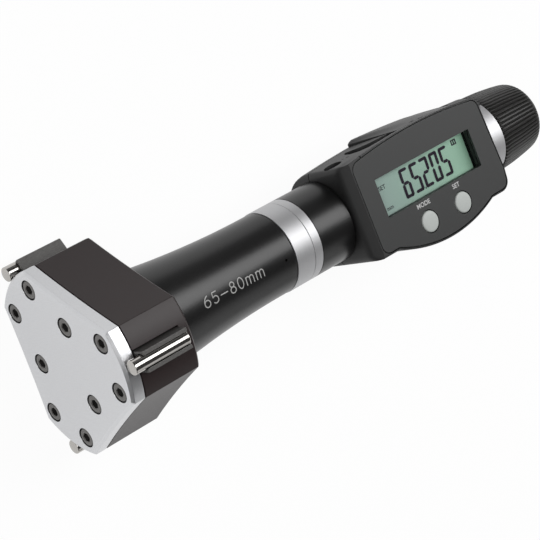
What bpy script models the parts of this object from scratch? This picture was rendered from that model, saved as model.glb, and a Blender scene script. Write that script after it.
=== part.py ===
# Three-point digital inside micrometer for bores of 65 to 80 mm.
# X is the tool's axis. It starts at the front plate's outer face and runs towards the thimble.
# Z points along the upper anvil. The readout's display looks up, turned a little about X.
# Sizes are in metres: MM turns the millimetres below into metres.

from math import cos, pi, radians, sin, tan

import bmesh
import bpy
from mathutils import Matrix, Vector

MM = 0.001
GAP = 0.3 * MM  # running and seating gap between neighbouring pieces
OVERCUT = 2.0 * MM  # how far a cutter stands out of what it cuts

# Turning about X: a piece is modelled about its own Z, which this rotation lays along world X
ALONG_X = (radians(90), 0, radians(90))
# Outline in a piece's own X and Y, laid so that its Y becomes Z and it is extruded along -Y
UPRIGHT = (radians(90), 0, 0)

LARGE_STEPS = 40  # facets round a piece of over 10 mm radius
MEDIUM_STEPS = 24
SMALL_STEPS = 12
SHARP_ANGLE = radians(32)

# Motion
SCREW_PITCH = 0.5 * MM
TRAVEL_OUT = 7.3975 * MM  # radial travel from the reading of 65.205 to 80
TRAVEL_IN = 0.1025 * MM  # radial travel back to 65

# Head
ANVIL_ANGLES = (-30, 90, 210)
FLAT_OFFSET_ANGLE = 60  # from an anvil to the middle of the next flat
CORNER_RADIUS = 28.0 * MM
CORNER_HALF_ANGLE = 21.6
FLAT_HOLLOW = 0.45 * MM
CORNER_STEPS = 6
FLAT_STEPS = 6
PLATE_THICKNESS = 4.2 * MM
PLATE_CHAMFER = 0.8 * MM
HEAD_REAR = 23.64 * MM
HEAD_CHAMFER = 0.8 * MM
HEAD_CAVITY_RADIUS = 8.0 * MM
GUIDE_BORE_STEP = 0.1 * MM  # the guide bore is this much wider than the core tube
SPIGOT_WALL = 2.3 * MM
SPIGOT_LENGTH = 6.4 * MM
SLOT_WALL = 3.6 * MM  # head material behind the anvil slots

# Cap screws of the front plate
SCREW_RADIUS = 1.5 * MM
SCREW_HEAD_RADIUS = 2.65 * MM
SCREW_HEAD_HEIGHT = 3.0 * MM
SCREW_RECESS = 0.15 * MM
SCREW_LENGTH = 6.6 * MM
SCREW_EDGE = 0.25 * MM
SOCKET_RADIUS = 1.44 * MM
SOCKET_DEPTH = 1.4 * MM
OUTER_SCREW_EDGE = 5.35 * MM  # from the corner arc to a screw's centre
OUTER_SCREW_ANGLE = 18.1
INNER_SCREW_WALL = 1.98 * MM  # from the guide bore to a screw's centre

# Anvils and contact pins
ANVIL_HALF_WIDTH = 2.95 * MM
ANVIL_STAND = 4.0 * MM  # how far an anvil's shoulder stands out of the head
ANVIL_INNER = 2.0 * MM
ANVIL_CHAMFER = 0.5 * MM
ANVIL_EDGE = 0.3 * MM
PIN_RADIUS = 2.15 * MM
PIN_CLEARANCE = 0.3025 * MM  # between a pin and the plate's corner arc
PIN_FRONT = 0.9 * MM
PIN_SEAT_GAP = 0.2 * MM
PIN_EDGE = 0.25 * MM

# Measuring cone and push rod
CONE_TIP = 12.6 * MM
CONE_TIP_RADIUS = 1.6 * MM
CONE_SHANK = 18.2 * MM  # length of the cone's guide behind its flank
CONE_SOCKET_DEPTH = 8.0 * MM
ROD_RADIUS = 3.5 * MM
ROD_REACH = 5.9 * MM  # how far the rod runs into the readout housing

# Barrel, rings and collar
BARREL_FRONT_WALL = 2.5 * MM
BARREL_REAR_WALL = 1.42 * MM
BARREL_LENGTH = 51.06 * MM
BARREL_LEVEL = 3.0 * MM  # straight stretch behind the flare
BARREL_FLARE_STEPS = 7
BARREL_SEAT_DEPTH = 5.0 * MM
RING_WALL = 1.6 * MM
RING_EDGE = 0.3 * MM
FRONT_RING_WIDTH = 6.6 * MM
REAR_RING_WIDTH = 2.95 * MM
COLLAR_WIDTH = 13.05 * MM

# Core tube, which carries the rings, the readout and the guide nut
TUBE_RADIUS = 11.0 * MM
TUBE_WALL = 1.2 * MM
TUBE_WEB = 4.5 * MM
TUBE_TAIL = 10.3 * MM  # how far the tube stands out behind the housing

# Readout, in its own frame: X along the tool, Y away from the buttons, Z out of the display
READOUT_TURN = radians(-4.5)
FACE_SETBACK = 3.6 * MM  # from the housing's front to the fascia
FACE_LENGTH = 56.5 * MM
FACE_TOP_WALL = 3.7 * MM  # from the core tube to the fascia's edges
FACE_BOTTOM_WALL = 3.3 * MM
FACE_HEEL_WALL = 3.9 * MM
FACE_HEEL_LENGTH = 5.6 * MM
FACE_HEEL_CUT = 1.0 * MM
FACE_TAPER = 1.3 * MM
FRONT_CORNER_RADII = (3.2 * MM, 2.6 * MM)
BULGE_RADII = (4.0 * MM, 6.0 * MM)
REAR_CORNER_RADII = (3.0 * MM, 3.0 * MM, 2.6 * MM)
TOP_BULGE = 1.75 * MM
BOTTOM_BULGE = 4.4 * MM
BULGE_START = 6.1 * MM  # from the fascia's front edge
BULGE_END = 8.4 * MM  # from the fascia's rear edge
FASCIA_THICKNESS = 0.9 * MM
FASCIA_EDGE = 0.2 * MM
RIM_WIDTH = 0.8 * MM
RIM_EDGE = 0.5 * MM
HOUSING_WALL = 1.5 * MM
HOUSING_FRONT_WALL = 2.4 * MM
HOUSING_FACE_WALL = 1.25 * MM
HOUSING_BACK_WALL = 4.2 * MM
NOSE_SLOPE = 3.1 * MM
NOSE_DROP = 3.4 * MM
NOSE_RADIUS = 3.0 * MM
NOSE_CORNER_RADII = (1.6 * MM, 2.4 * MM)
BACK_RISE = 1.5 * MM  # how much the back rises at its two ends
BACK_LEVEL_START = 8.0 * MM  # from the housing's front to the back's level stretch
BACK_LEVEL_END = 9.0 * MM  # from the level stretch to the housing's rear
BACK_RADIUS = 6.0 * MM
BACK_END_RADII = (2.5 * MM, 3.0 * MM)
BUTTON_CHINE = (9.4 * MM, 8.4 * MM)  # width and height of the slope under the buttons' side
BATTERY_CHINE = (9.0 * MM, 4.3 * MM)
BUTTON_CHINE_RADII = (6.0 * MM, 8.0 * MM)
BATTERY_CHINE_RADII = (7.0 * MM, 5.0 * MM)
PORT_OFFSET = 7.2 * MM  # from the housing's front
PORT_HEIGHT = 6.0 * MM
PORT_SIZE = (5.6 * MM, 2.4 * MM)
PORT_ROUNDING = 0.9  # share of the port's half height
PORT_DEPTH = 0.9 * MM
GROOVE_LENGTH = 10.5 * MM
GROOVE_WIDTH = 0.5 * MM

# Display window, cell and circuit board
LCD_SETBACK = 6.5 * MM  # from the fascia's front edge
LCD_REAR_MARGIN = 8.3 * MM
LCD_TOP = 7.25 * MM
LCD_BOTTOM = -4.9 * MM
LCD_BORDER = 1.5 * MM
WINDOW_THICKNESS = 0.4 * MM
CELL_THICKNESS = 1.2 * MM
WINDOW_CLEARANCE = 0.2 * MM
BOARD_THICKNESS = 0.6 * MM
BOARD_INSET = 1.3 * MM

# Buttons
BUTTON_STATIONS = {"mode": 20.8 * MM, "set": 35.8 * MM}  # from the fascia's front edge
BUTTON_DROP = 7.2 * MM  # from the window's lower edge
BUTTON_RADIUS = 3.3 * MM
BUTTON_GAP = 0.35 * MM
BUTTON_PROUD = 0.35 * MM
BUTTON_EDGE = 0.4 * MM
BUTTON_FLANGE = 0.9 * MM
BUTTON_FLANGE_HEIGHT = 0.8 * MM
DOME_RADIUS = 2.4 * MM
DOME_HEIGHT = 0.3 * MM

# Battery and its cover
COVER_OFFSET = 21.7 * MM  # from the housing's front
COVER_REAR_MARGIN = 7.7 * MM  # from the cover to the housing's rear
COVER_STEP = 1.28 * MM  # how far the cover's front stands out of the wall
COVER_TAIL = 0.3 * MM  # how far its rear edge sinks into the wall
COVER_BOW = 0.35 * MM
COVER_LOW = -10.0 * MM
COVER_HIGH = 8.0 * MM
COVER_SEAT_DEPTH = 0.9 * MM
COVER_STEPS = 8
BATTERY_RADIUS = 8.0 * MM
BATTERY_THICKNESS = 3.2 * MM
BATTERY_OFFSET = 0.75 * MM  # from the cover's middle
BATTERY_CLEARANCE = 0.6 * MM

# Screws that hold the readout on the core tube
CASE_SCREW_OFFSETS = (13.2 * MM, 13.7 * MM)  # from the housing's front and rear
CASE_SCREW_RADIUS = 1.0 * MM
CASE_SCREW_HEAD = 1.9 * MM
CASE_SCREW_HEAD_HEIGHT = 0.9 * MM
CASE_SOCKET_RADIUS = 0.9 * MM
CASE_SOCKET_DEPTH = 0.5 * MM

# Thimble, its sleeve and the micrometer screw
THIMBLE_STANDOFF = 8.0 * MM  # from the housing's rear, so that the thimble can run forward
THIMBLE_LIP = 0.65 * MM
THIMBLE_LENGTH = 19.9 * MM
THIMBLE_MOUTH = 0.4 * MM
THIMBLE_TAPER_START = 7.8 * MM
THIMBLE_TAPER_DROP = 0.7 * MM
THIMBLE_TAIL = ((1.6 * MM, 2.0 * MM), (0.6 * MM, 2.35 * MM), (0.0 * MM, 3.05 * MM))  # from rear, drop
FLUTES = 64
FLUTE_DEPTH = 0.5 * MM
FLUTE_LAND = 0.4  # share of the pitch that a ridge keeps
SLEEVE_WALL = 1.7 * MM
SLEEVE_OVERLAP = 1.4 * MM
SLEEVE_SPIGOT_WALL = 0.65 * MM
SLEEVE_SPIGOT_LENGTH = 3.6 * MM
NUT_LENGTH = 20.0 * MM
THREAD_RADIUS = 4.2 * MM
THREAD_RUN_OUT = 10.0 * MM  # threaded length in front of the nut
SCREW_NOSE_RADIUS = 3.0 * MM
END_CAP_INSET = 2.0 * MM
END_CAP_LENGTH = 3.6 * MM
END_CAP_EDGE = 1.0 * MM

# Rotary encoder in the core tube
STATOR_OFFSET = 12.0 * MM  # from the micrometer screw's nose
STATOR_THICKNESS = 2.5 * MM
ROTOR_THICKNESS = 2.0 * MM
ROTOR_INSET = 1.0 * MM

# Sizes that follow from those above: the head
HEAD_FRONT = PLATE_THICKNESS + GAP
GUIDE_BORE_RADIUS = TUBE_RADIUS + GUIDE_BORE_STEP
SLOT_REAR = HEAD_REAR - SLOT_WALL
ANVIL_REAR = SLOT_REAR - GAP
ANVIL_SHOULDER = CORNER_RADIUS + ANVIL_STAND
PIN_CENTRE = CORNER_RADIUS + PIN_CLEARANCE + PIN_RADIUS
OUTER_SCREW_RADIUS = CORNER_RADIUS - OUTER_SCREW_EDGE
INNER_SCREW_RADIUS = GUIDE_BORE_RADIUS + INNER_SCREW_WALL
CONE_RADIUS = GUIDE_BORE_RADIUS - GAP
CONE_FLANK_END = CONE_TIP + CONE_RADIUS - CONE_TIP_RADIUS
CONE_REAR = CONE_FLANK_END + CONE_SHANK
SPIGOT_RADIUS = GUIDE_BORE_RADIUS + SPIGOT_WALL
SPIGOT_REAR = HEAD_REAR + SPIGOT_LENGTH

# The barrel and what lies in line with it
BARREL_FRONT = HEAD_REAR + GAP
BARREL_REAR = BARREL_FRONT + BARREL_LENGTH
BARREL_FLARE_END = BARREL_REAR - BARREL_LEVEL
BARREL_FRONT_RADIUS = SPIGOT_RADIUS + GAP + BARREL_FRONT_WALL
BARREL_SEAT = BARREL_REAR - BARREL_SEAT_DEPTH
TUBE_SEAT_RADIUS = TUBE_RADIUS + GAP
TUBE_BORE = TUBE_RADIUS - TUBE_WALL
BARREL_REAR_RADIUS = TUBE_SEAT_RADIUS + BARREL_REAR_WALL
RING_RADIUS = TUBE_SEAT_RADIUS + RING_WALL
FRONT_RING_START = BARREL_REAR + GAP
REAR_RING_START = FRONT_RING_START + FRONT_RING_WIDTH + GAP
COLLAR_START = REAR_RING_START + REAR_RING_WIDTH + GAP
TUBE_FRONT = BARREL_SEAT + GAP

# The readout
HOUSING_FRONT = COLLAR_START + COLLAR_WIDTH + GAP
FACE_LEFT = HOUSING_FRONT + FACE_SETBACK
FACE_RIGHT = FACE_LEFT + FACE_LENGTH
FACE_TOP = TUBE_RADIUS + FACE_TOP_WALL
FACE_BOTTOM = TUBE_RADIUS + FACE_BOTTOM_WALL
FACE_HEEL = TUBE_RADIUS + FACE_HEEL_WALL
HOUSING_REAR = FACE_RIGHT + RIM_WIDTH
HOUSING_BACK = TUBE_RADIUS + HOUSING_BACK_WALL
BOARD_BASE = TUBE_RADIUS + GAP
CELL_BASE = BOARD_BASE + BOARD_THICKNESS + GAP
WINDOW_BASE = CELL_BASE + CELL_THICKNESS + GAP
CAVITY_TOP = WINDOW_BASE + WINDOW_THICKNESS + WINDOW_CLEARANCE
FASCIA_SEAT = CAVITY_TOP + HOUSING_FACE_WALL
DISPLAY_HEIGHT = FASCIA_SEAT + GAP + FASCIA_THICKNESS
LCD_LEFT = FACE_LEFT + LCD_SETBACK
LCD_RIGHT = FACE_RIGHT - LCD_REAR_MARGIN
BUTTONS = {name: (FACE_LEFT + station, LCD_BOTTOM - BUTTON_DROP) for name, station in BUTTON_STATIONS.items()}
COVER_FRONT = HOUSING_FRONT + COVER_OFFSET
COVER_REAR = HOUSING_REAR - COVER_REAR_MARGIN
BATTERY_X = (COVER_FRONT + COVER_REAR) / 2 + BATTERY_OFFSET
BATTERY_Z = (COVER_LOW + COVER_HIGH) / 2
BATTERY_BASE = TUBE_RADIUS + BATTERY_CLEARANCE
CASE_SCREW_STATIONS = (HOUSING_FRONT + CASE_SCREW_OFFSETS[0], HOUSING_REAR - CASE_SCREW_OFFSETS[1])

# The thimble and the screw
TUBE_REAR = HOUSING_REAR + TUBE_TAIL
SLEEVE_RADIUS = TUBE_SEAT_RADIUS + SLEEVE_WALL
SLEEVE_SPIGOT_RADIUS = TUBE_SEAT_RADIUS + SLEEVE_SPIGOT_WALL
SLEEVE_FRONT = HOUSING_REAR - SLEEVE_OVERLAP
BOARD_REAR = SLEEVE_FRONT - TRAVEL_OUT - 2 * GAP
THIMBLE_FRONT = HOUSING_REAR + THIMBLE_STANDOFF
THIMBLE_REAR = THIMBLE_FRONT + THIMBLE_LENGTH
THIMBLE_RADIUS = SLEEVE_RADIUS + THIMBLE_LIP
SLEEVE_SPIGOT_REAR = THIMBLE_FRONT + SLEEVE_SPIGOT_LENGTH
THIMBLE_WEB = TUBE_REAR + TRAVEL_OUT + GAP
ROD_BORE = ROD_RADIUS + GAP
ROD_REAR = HOUSING_FRONT + ROD_REACH
SCREW_NOSE = ROD_REAR + GAP
THREAD_BORE = THREAD_RADIUS + GAP
THREAD_FRONT = TUBE_REAR - NUT_LENGTH - THREAD_RUN_OUT

# Readout outlines: corner x, corner y, corner radius, bulge of the edge that leaves the corner
FACE_CORNERS = (
    (FACE_LEFT, FACE_TOP, FRONT_CORNER_RADII[0], 0.0),
    (FACE_LEFT, -FACE_BOTTOM, FRONT_CORNER_RADII[1], 0.0),
    (FACE_LEFT + BULGE_START, -FACE_BOTTOM, BULGE_RADII[0], -BOTTOM_BULGE),
    (FACE_RIGHT - BULGE_END, -FACE_HEEL, BULGE_RADII[1], 0.0),
    (FACE_RIGHT - FACE_HEEL_CUT, -FACE_HEEL, REAR_CORNER_RADII[0], 0.0),
    (FACE_RIGHT, FACE_HEEL_LENGTH - FACE_HEEL, REAR_CORNER_RADII[1], 0.0),
    (FACE_RIGHT - FACE_TAPER, FACE_TOP, REAR_CORNER_RADII[2], -TOP_BULGE),
)


def clear_scene():
    for obj in list(bpy.data.objects):
        bpy.data.objects.remove(obj, do_unlink=True)


def new_collection(name):
    collection = bpy.data.collections.new(name)
    bpy.context.scene.collection.children.link(collection)
    return collection


def finish(name, colour, roughness, metallic=0.0):
    material = bpy.data.materials.new(name)
    material.use_nodes = True
    shader = material.node_tree.nodes["Principled BSDF"]
    shader.inputs["Base Color"].default_value = (*colour, 1.0)
    shader.inputs["Roughness"].default_value = roughness
    shader.inputs["Metallic"].default_value = metallic
    material.diffuse_color = (*colour, 1.0)
    return material


clear_scene()
PARTS = new_collection("inside_micrometer")
CUTTERS = new_collection("cutters")


def add_object(name, mesh, collection=None, rotation=(0, 0, 0), location=(0, 0, 0), parent=None):
    obj = bpy.data.objects.new(name, mesh)
    (collection or CUTTERS).objects.link(obj)
    obj.rotation_euler = rotation
    obj.location = location
    obj.parent = parent
    if collection is not PARTS:
        obj.hide_render = True
        obj.display_type = "WIRE"
    return obj


def mesh_from(name, bm):
    mesh = bpy.data.meshes.new(name)
    bm.to_mesh(mesh)
    bm.free()
    return mesh


def arc_between(start, end, bulge, steps):
    # Points inside an arc from start to end whose middle stands off the chord, to its left, by bulge
    chord = end - start
    half = chord.length / 2
    radius = (half ** 2 + bulge ** 2) / (2 * abs(bulge))
    left = Vector((-chord.y, chord.x)).normalized() * (1 if bulge > 0 else -1)
    centre = (start + end) / 2 + left * (abs(bulge) - radius)
    return [centre + radius * (start - centre).slerp(end - centre, i / steps) for i in range(1, steps)]


def rounded_outline(corners, steps=4, bulge_steps=10):
    # Each corner is x, y, radius and, where the edge after it bows, that edge's bulge
    arcs = []
    for i, corner in enumerate(corners):
        here = Vector(corner[:2])
        back = (Vector(corners[i - 1][:2]) - here).normalized()
        ahead = (Vector(corners[(i + 1) % len(corners)][:2]) - here).normalized()
        half = back.angle(ahead) / 2
        radius = corner[2]
        centre = here + (back + ahead).normalized() * radius / sin(half)
        start = here + back * radius / tan(half) - centre
        end = here + ahead * radius / tan(half) - centre
        arcs.append([centre + radius * start.slerp(end, k / steps) for k in range(steps + 1)])
    points = []
    for i, corner in enumerate(corners):
        points += arcs[i]
        if len(corner) > 3 and corner[3]:
            points += arc_between(arcs[i][-1], arcs[(i + 1) % len(arcs)][0], corner[3], bulge_steps)
    return points


def inset_corners(corners, distance):
    # Corners of the same outline, moved inwards by distance. The outline runs anticlockwise.
    moved = []
    for i, corner in enumerate(corners):
        here = Vector(corner[:2])
        before = (here - Vector(corners[i - 1][:2])).normalized()
        after = (Vector(corners[(i + 1) % len(corners)][:2]) - here).normalized()
        inwards = Vector((-before.y, before.x)) + Vector((-after.y, after.x))
        shift = inwards * distance / (1 + before.dot(after))
        radius = max(corner[2] - distance, GAP)
        moved.append((here.x + shift.x, here.y + shift.y, radius, *corner[3:]))
    return moved


def extruded(name, outline, low, high):
    # Solid between two heights on a flat outline, made from a filled curve
    curve = bpy.data.curves.new(name, "CURVE")
    curve.dimensions = "2D"
    curve.fill_mode = "BOTH"
    curve.extrude = (high - low) / 2
    spline = curve.splines.new("POLY")
    spline.points.add(len(outline) - 1)
    for point, place in zip(spline.points, outline):
        point.co = (place[0], place[1], 0, 1)
    spline.use_cyclic_u = True
    source = bpy.data.objects.new(name, curve)
    bpy.context.scene.collection.objects.link(source)
    shape = bpy.data.meshes.new_from_object(source.evaluated_get(bpy.context.evaluated_depsgraph_get()))
    bpy.data.objects.remove(source)
    bm = bmesh.new()
    bm.from_mesh(shape)
    bmesh.ops.remove_doubles(bm, verts=bm.verts, dist=0.001 * MM)
    bmesh.ops.dissolve_limit(bm, angle_limit=radians(0.5), verts=bm.verts, edges=bm.edges)
    bmesh.ops.recalc_face_normals(bm, faces=bm.faces)
    bmesh.ops.translate(bm, verts=bm.verts, vec=(0, 0, (high + low) / 2))
    return bm


def bevel_rim(bm, height, size, segments=1):
    # Breaks the edges that lie at one height
    rim = [edge for edge in bm.edges if all(abs(vert.co.z - height) < GAP / 10 for vert in edge.verts)]
    bmesh.ops.bevel(bm, geom=rim, offset=size, segments=segments, profile=0.5, affect="EDGES",
                    clamp_overlap=True)
    return bm


def block(low, high):
    bm = bmesh.new()
    size = Vector(high) - Vector(low)
    bmesh.ops.create_cube(bm, size=1.0, matrix=Matrix.Diagonal((*size, 1.0)))
    bmesh.ops.translate(bm, verts=bm.verts, vec=(Vector(low) + Vector(high)) / 2)
    return bm


def turned(name, profile, steps, collection=None, **place):
    # Profile of (station, radius) points: down the outer side from back to front, then back inside
    closed = profile[0][1] > 0 and profile[-1][1] > 0
    bm = bmesh.new()
    verts = [bm.verts.new((radius, 0, station)) for station, radius in profile]
    for first, second in zip(verts, verts[1:]):
        bm.edges.new((first, second))
    if closed:
        bm.edges.new((verts[-1], verts[0]))
    obj = add_object(name, mesh_from(name, bm), collection, **place)
    screw = obj.modifiers.new("turn", "SCREW")
    screw.steps = steps
    screw.render_steps = steps
    screw.use_merge_vertices = True
    screw.merge_threshold = 0.01 * MM
    return obj


def tube(name, front, rear, outer, inner, edge, steps, collection=None, **place):
    profile = [
        (rear, outer - edge),
        (rear - edge, outer),
        (front + edge, outer),
        (front, outer - edge),
        (front, inner),
        (rear, inner),
    ]
    return turned(name, profile, steps, collection, **place)


def cylinder(name, front, rear, radius, steps, collection=None, **place):
    return turned(name, [(rear, 0), (rear, radius), (front, radius), (front, 0)], steps, collection, **place)


def combine(obj, other, operation="DIFFERENCE"):
    boolean = obj.modifiers.new(other.name, "BOOLEAN")
    boolean.operation = operation
    boolean.solver = "EXACT"
    boolean.object = other


def polar(radius, angle):
    return (0, radius * cos(radians(angle)), radius * sin(radians(angle)))


def paint(obj, material):
    # Fixes the finished shape, smooths its round faces and gives it its one material
    shape = bpy.data.meshes.new_from_object(obj.evaluated_get(bpy.context.evaluated_depsgraph_get()))
    shape.name = obj.name
    obj.modifiers.clear()
    obj.data = shape
    shape.materials.clear()
    shape.materials.append(material)
    shape.shade_smooth()
    shape.set_sharp_from_angle(angle=SHARP_ANGLE)


def head_outline():
    points = []
    for angle in ANVIL_ANGLES:
        first = angle - CORNER_HALF_ANGLE
        turn = 2 * CORNER_HALF_ANGLE / CORNER_STEPS
        corner = [Vector(polar(CORNER_RADIUS, first + turn * i)[1:]) for i in range(CORNER_STEPS + 1)]
        next_corner = angle + 2 * FLAT_OFFSET_ANGLE - CORNER_HALF_ANGLE
        next_start = Vector(polar(CORNER_RADIUS, next_corner)[1:])
        points += corner + arc_between(corner[-1], next_start, FLAT_HOLLOW, FLAT_STEPS)
    return points


def screw_places():
    places = []
    for angle in ANVIL_ANGLES:
        places.append((OUTER_SCREW_RADIUS, angle - OUTER_SCREW_ANGLE))
        places.append((OUTER_SCREW_RADIUS, angle + OUTER_SCREW_ANGLE))
        places.append((INNER_SCREW_RADIUS, angle + FLAT_OFFSET_ANGLE))
    return places


def make_front_plate():
    outline = extruded("front_plate", head_outline(), 0, PLATE_THICKNESS)
    plate = add_object("front_plate", mesh_from("front_plate", bevel_rim(outline, 0, PLATE_CHAMFER)),
                       PARTS, rotation=ALONG_X)
    seat = SCREW_RECESS + SCREW_HEAD_HEIGHT + GAP
    for i, (radius, angle) in enumerate(screw_places(), start=1):
        profile = [
            (PLATE_THICKNESS + OVERCUT, 0),
            (PLATE_THICKNESS + OVERCUT, SCREW_RADIUS + GAP),
            (seat, SCREW_RADIUS + GAP),
            (seat, SCREW_HEAD_RADIUS + GAP),
            (-OVERCUT, SCREW_HEAD_RADIUS + GAP),
            (-OVERCUT, 0),
        ]
        combine(plate, turned(f"counterbore_{i}", profile, SMALL_STEPS, rotation=ALONG_X,
                              location=polar(radius, angle)))
    paint(plate, finish("plate_steel", (0.62, 0.63, 0.64), 0.32, 1.0))


def make_plate_screws():
    material = finish("screw_steel", (0.17, 0.165, 0.16), 0.38, 0.9)
    head_rear = SCREW_RECESS + SCREW_HEAD_HEIGHT
    tip = head_rear + SCREW_LENGTH
    profile = [
        (tip, 0),
        (tip, SCREW_RADIUS - SCREW_EDGE),
        (tip - SCREW_EDGE, SCREW_RADIUS),
        (head_rear, SCREW_RADIUS),
        (head_rear, SCREW_HEAD_RADIUS),
        (SCREW_RECESS + SCREW_EDGE, SCREW_HEAD_RADIUS),
        (SCREW_RECESS, SCREW_HEAD_RADIUS - SCREW_EDGE),
        (SCREW_RECESS, 0),
    ]
    for i, (radius, angle) in enumerate(screw_places(), start=1):
        place = {"rotation": ALONG_X, "location": polar(radius, angle)}
        screw = turned(f"plate_screw_{i}", profile, SMALL_STEPS, PARTS, **place)
        socket = cylinder(f"socket_{i}", -OVERCUT, SCREW_RECESS + SOCKET_DEPTH, SOCKET_RADIUS, 6, **place)
        combine(screw, socket)
        paint(screw, material)


def make_head_body():
    outline = extruded("head_body", head_outline(), HEAD_FRONT, HEAD_REAR)
    head = add_object("head_body", mesh_from("head_body", bevel_rim(outline, HEAD_REAR, HEAD_CHAMFER)),
                      PARTS, rotation=ALONG_X)
    spigot = tube("head_spigot", HEAD_REAR - SLOT_WALL / 2, SPIGOT_REAR, SPIGOT_RADIUS,
                  GUIDE_BORE_RADIUS / 2, RING_EDGE, LARGE_STEPS, rotation=ALONG_X)
    combine(head, spigot, "UNION")
    # The cone's flank stays clear of the narrow cavity when the spindle is right forward
    cone_reach = HEAD_CAVITY_RADIUS - CONE_TIP_RADIUS - 2 * GAP
    guide_start = CONE_TIP - TRAVEL_OUT + cone_reach
    bore_profile = [
        (SPIGOT_REAR + OVERCUT, 0),
        (SPIGOT_REAR + OVERCUT, GUIDE_BORE_RADIUS),
        (guide_start, GUIDE_BORE_RADIUS),
        (guide_start, HEAD_CAVITY_RADIUS),
        (HEAD_FRONT - OVERCUT, HEAD_CAVITY_RADIUS),
        (HEAD_FRONT - OVERCUT, 0),
    ]
    combine(head, turned("guide_bore", bore_profile, LARGE_STEPS, rotation=ALONG_X))
    slot_half = ANVIL_HALF_WIDTH + GAP
    for i, angle in enumerate(ANVIL_ANGLES, start=1):
        slot = block((HEAD_FRONT - OVERCUT, 0, -slot_half), (SLOT_REAR, CORNER_RADIUS + OVERCUT, slot_half))
        cutter = add_object(f"anvil_slot_{i}", mesh_from(f"anvil_slot_{i}", slot),
                            rotation=(radians(angle), 0, 0))
        combine(head, cutter)
    hole_end = SCREW_RECESS + SCREW_HEAD_HEIGHT + SCREW_LENGTH + GAP
    for i, (radius, angle) in enumerate(screw_places(), start=1):
        combine(head, cylinder(f"tapped_hole_{i}", HEAD_FRONT - OVERCUT, hole_end, SCREW_RADIUS + GAP,
                               SMALL_STEPS, rotation=ALONG_X, location=polar(radius, angle)))
    paint(head, finish("head_coating", (0.028, 0.022, 0.021), 0.38, 0.6))


def make_anvils():
    # Anvil frame: X along the tool, Y outwards, Z across the anvil's width
    steel = finish("anvil_steel", (0.14, 0.15, 0.145), 0.5, 1.0)
    polished = finish("pin_carbide", (0.55, 0.54, 0.53), 0.15, 1.0)
    front = HEAD_FRONT
    # The ramp lies a normal gap off the cone's 45 degree flank
    ramp_start = CONE_TIP + ANVIL_INNER - CONE_TIP_RADIUS - GAP / cos(radians(45))
    ramp_top = ANVIL_INNER + ANVIL_REAR - ramp_start
    side = [
        (front, ANVIL_INNER),
        (ramp_start, ANVIL_INNER),
        (ANVIL_REAR, ramp_top),
        (ANVIL_REAR, ANVIL_SHOULDER - ANVIL_CHAMFER),
        (ANVIL_REAR - ANVIL_CHAMFER, ANVIL_SHOULDER),
        (front + ANVIL_CHAMFER, ANVIL_SHOULDER),
        (front, ANVIL_SHOULDER - ANVIL_CHAMFER),
    ]
    for i, angle in enumerate(ANVIL_ANGLES, start=1):
        turn = (radians(angle), 0, 0)
        bm = extruded(f"anvil_{i}", side, -ANVIL_HALF_WIDTH, ANVIL_HALF_WIDTH)
        crest = [edge for edge in bm.edges
                 if all(vert.co.y > ANVIL_SHOULDER - GAP / 10 for vert in edge.verts)
                 and abs(edge.verts[0].co.z - edge.verts[1].co.z) < GAP]
        bmesh.ops.bevel(bm, geom=crest, offset=ANVIL_EDGE, segments=1, profile=0.5, affect="EDGES")
        anvil = add_object(f"anvil_{i}", mesh_from(f"anvil_{i}", bm), PARTS, rotation=turn)
        seat = polar(PIN_CENTRE, angle)
        combine(anvil, cylinder(f"pin_groove_{i}", front - OVERCUT, ANVIL_REAR + OVERCUT,
                                PIN_RADIUS + PIN_SEAT_GAP, MEDIUM_STEPS, rotation=ALONG_X, location=seat))
        paint(anvil, steel)
        rear = ANVIL_REAR - PIN_SEAT_GAP
        profile = [
            (rear, 0),
            (rear, PIN_RADIUS - PIN_EDGE),
            (rear - PIN_EDGE, PIN_RADIUS),
            (PIN_FRONT + PIN_EDGE, PIN_RADIUS),
            (PIN_FRONT, PIN_RADIUS - PIN_EDGE),
            (PIN_FRONT, 0),
        ]
        pin = turned(f"contact_pin_{i}", profile, MEDIUM_STEPS, PARTS, rotation=ALONG_X, location=seat)
        paint(pin, polished)


def make_cone_and_rod():
    steel = finish("ground_steel", (0.55, 0.55, 0.54), 0.25, 1.0)
    socket = CONE_REAR - CONE_SOCKET_DEPTH
    profile = [
        (socket, 0),
        (socket, ROD_BORE),
        (CONE_REAR, ROD_BORE),
        (CONE_REAR, CONE_RADIUS - RING_EDGE),
        (CONE_REAR - RING_EDGE, CONE_RADIUS),
        (CONE_FLANK_END, CONE_RADIUS),
        (CONE_TIP, CONE_TIP_RADIUS),
        (CONE_TIP, 0),
    ]
    paint(turned("measuring_cone", profile, LARGE_STEPS, PARTS, rotation=ALONG_X), steel)
    rod = cylinder("push_rod", socket + GAP, ROD_REAR, ROD_RADIUS, MEDIUM_STEPS, PARTS, rotation=ALONG_X)
    paint(rod, steel)


def barrel_radius(station):
    # The barrel narrows along a parabola that ends level
    share = min((station - BARREL_FRONT) / (BARREL_FLARE_END - BARREL_FRONT), 1.0)
    return BARREL_REAR_RADIUS + (BARREL_FRONT_RADIUS - BARREL_REAR_RADIUS) * (1 - share) ** 2


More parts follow.
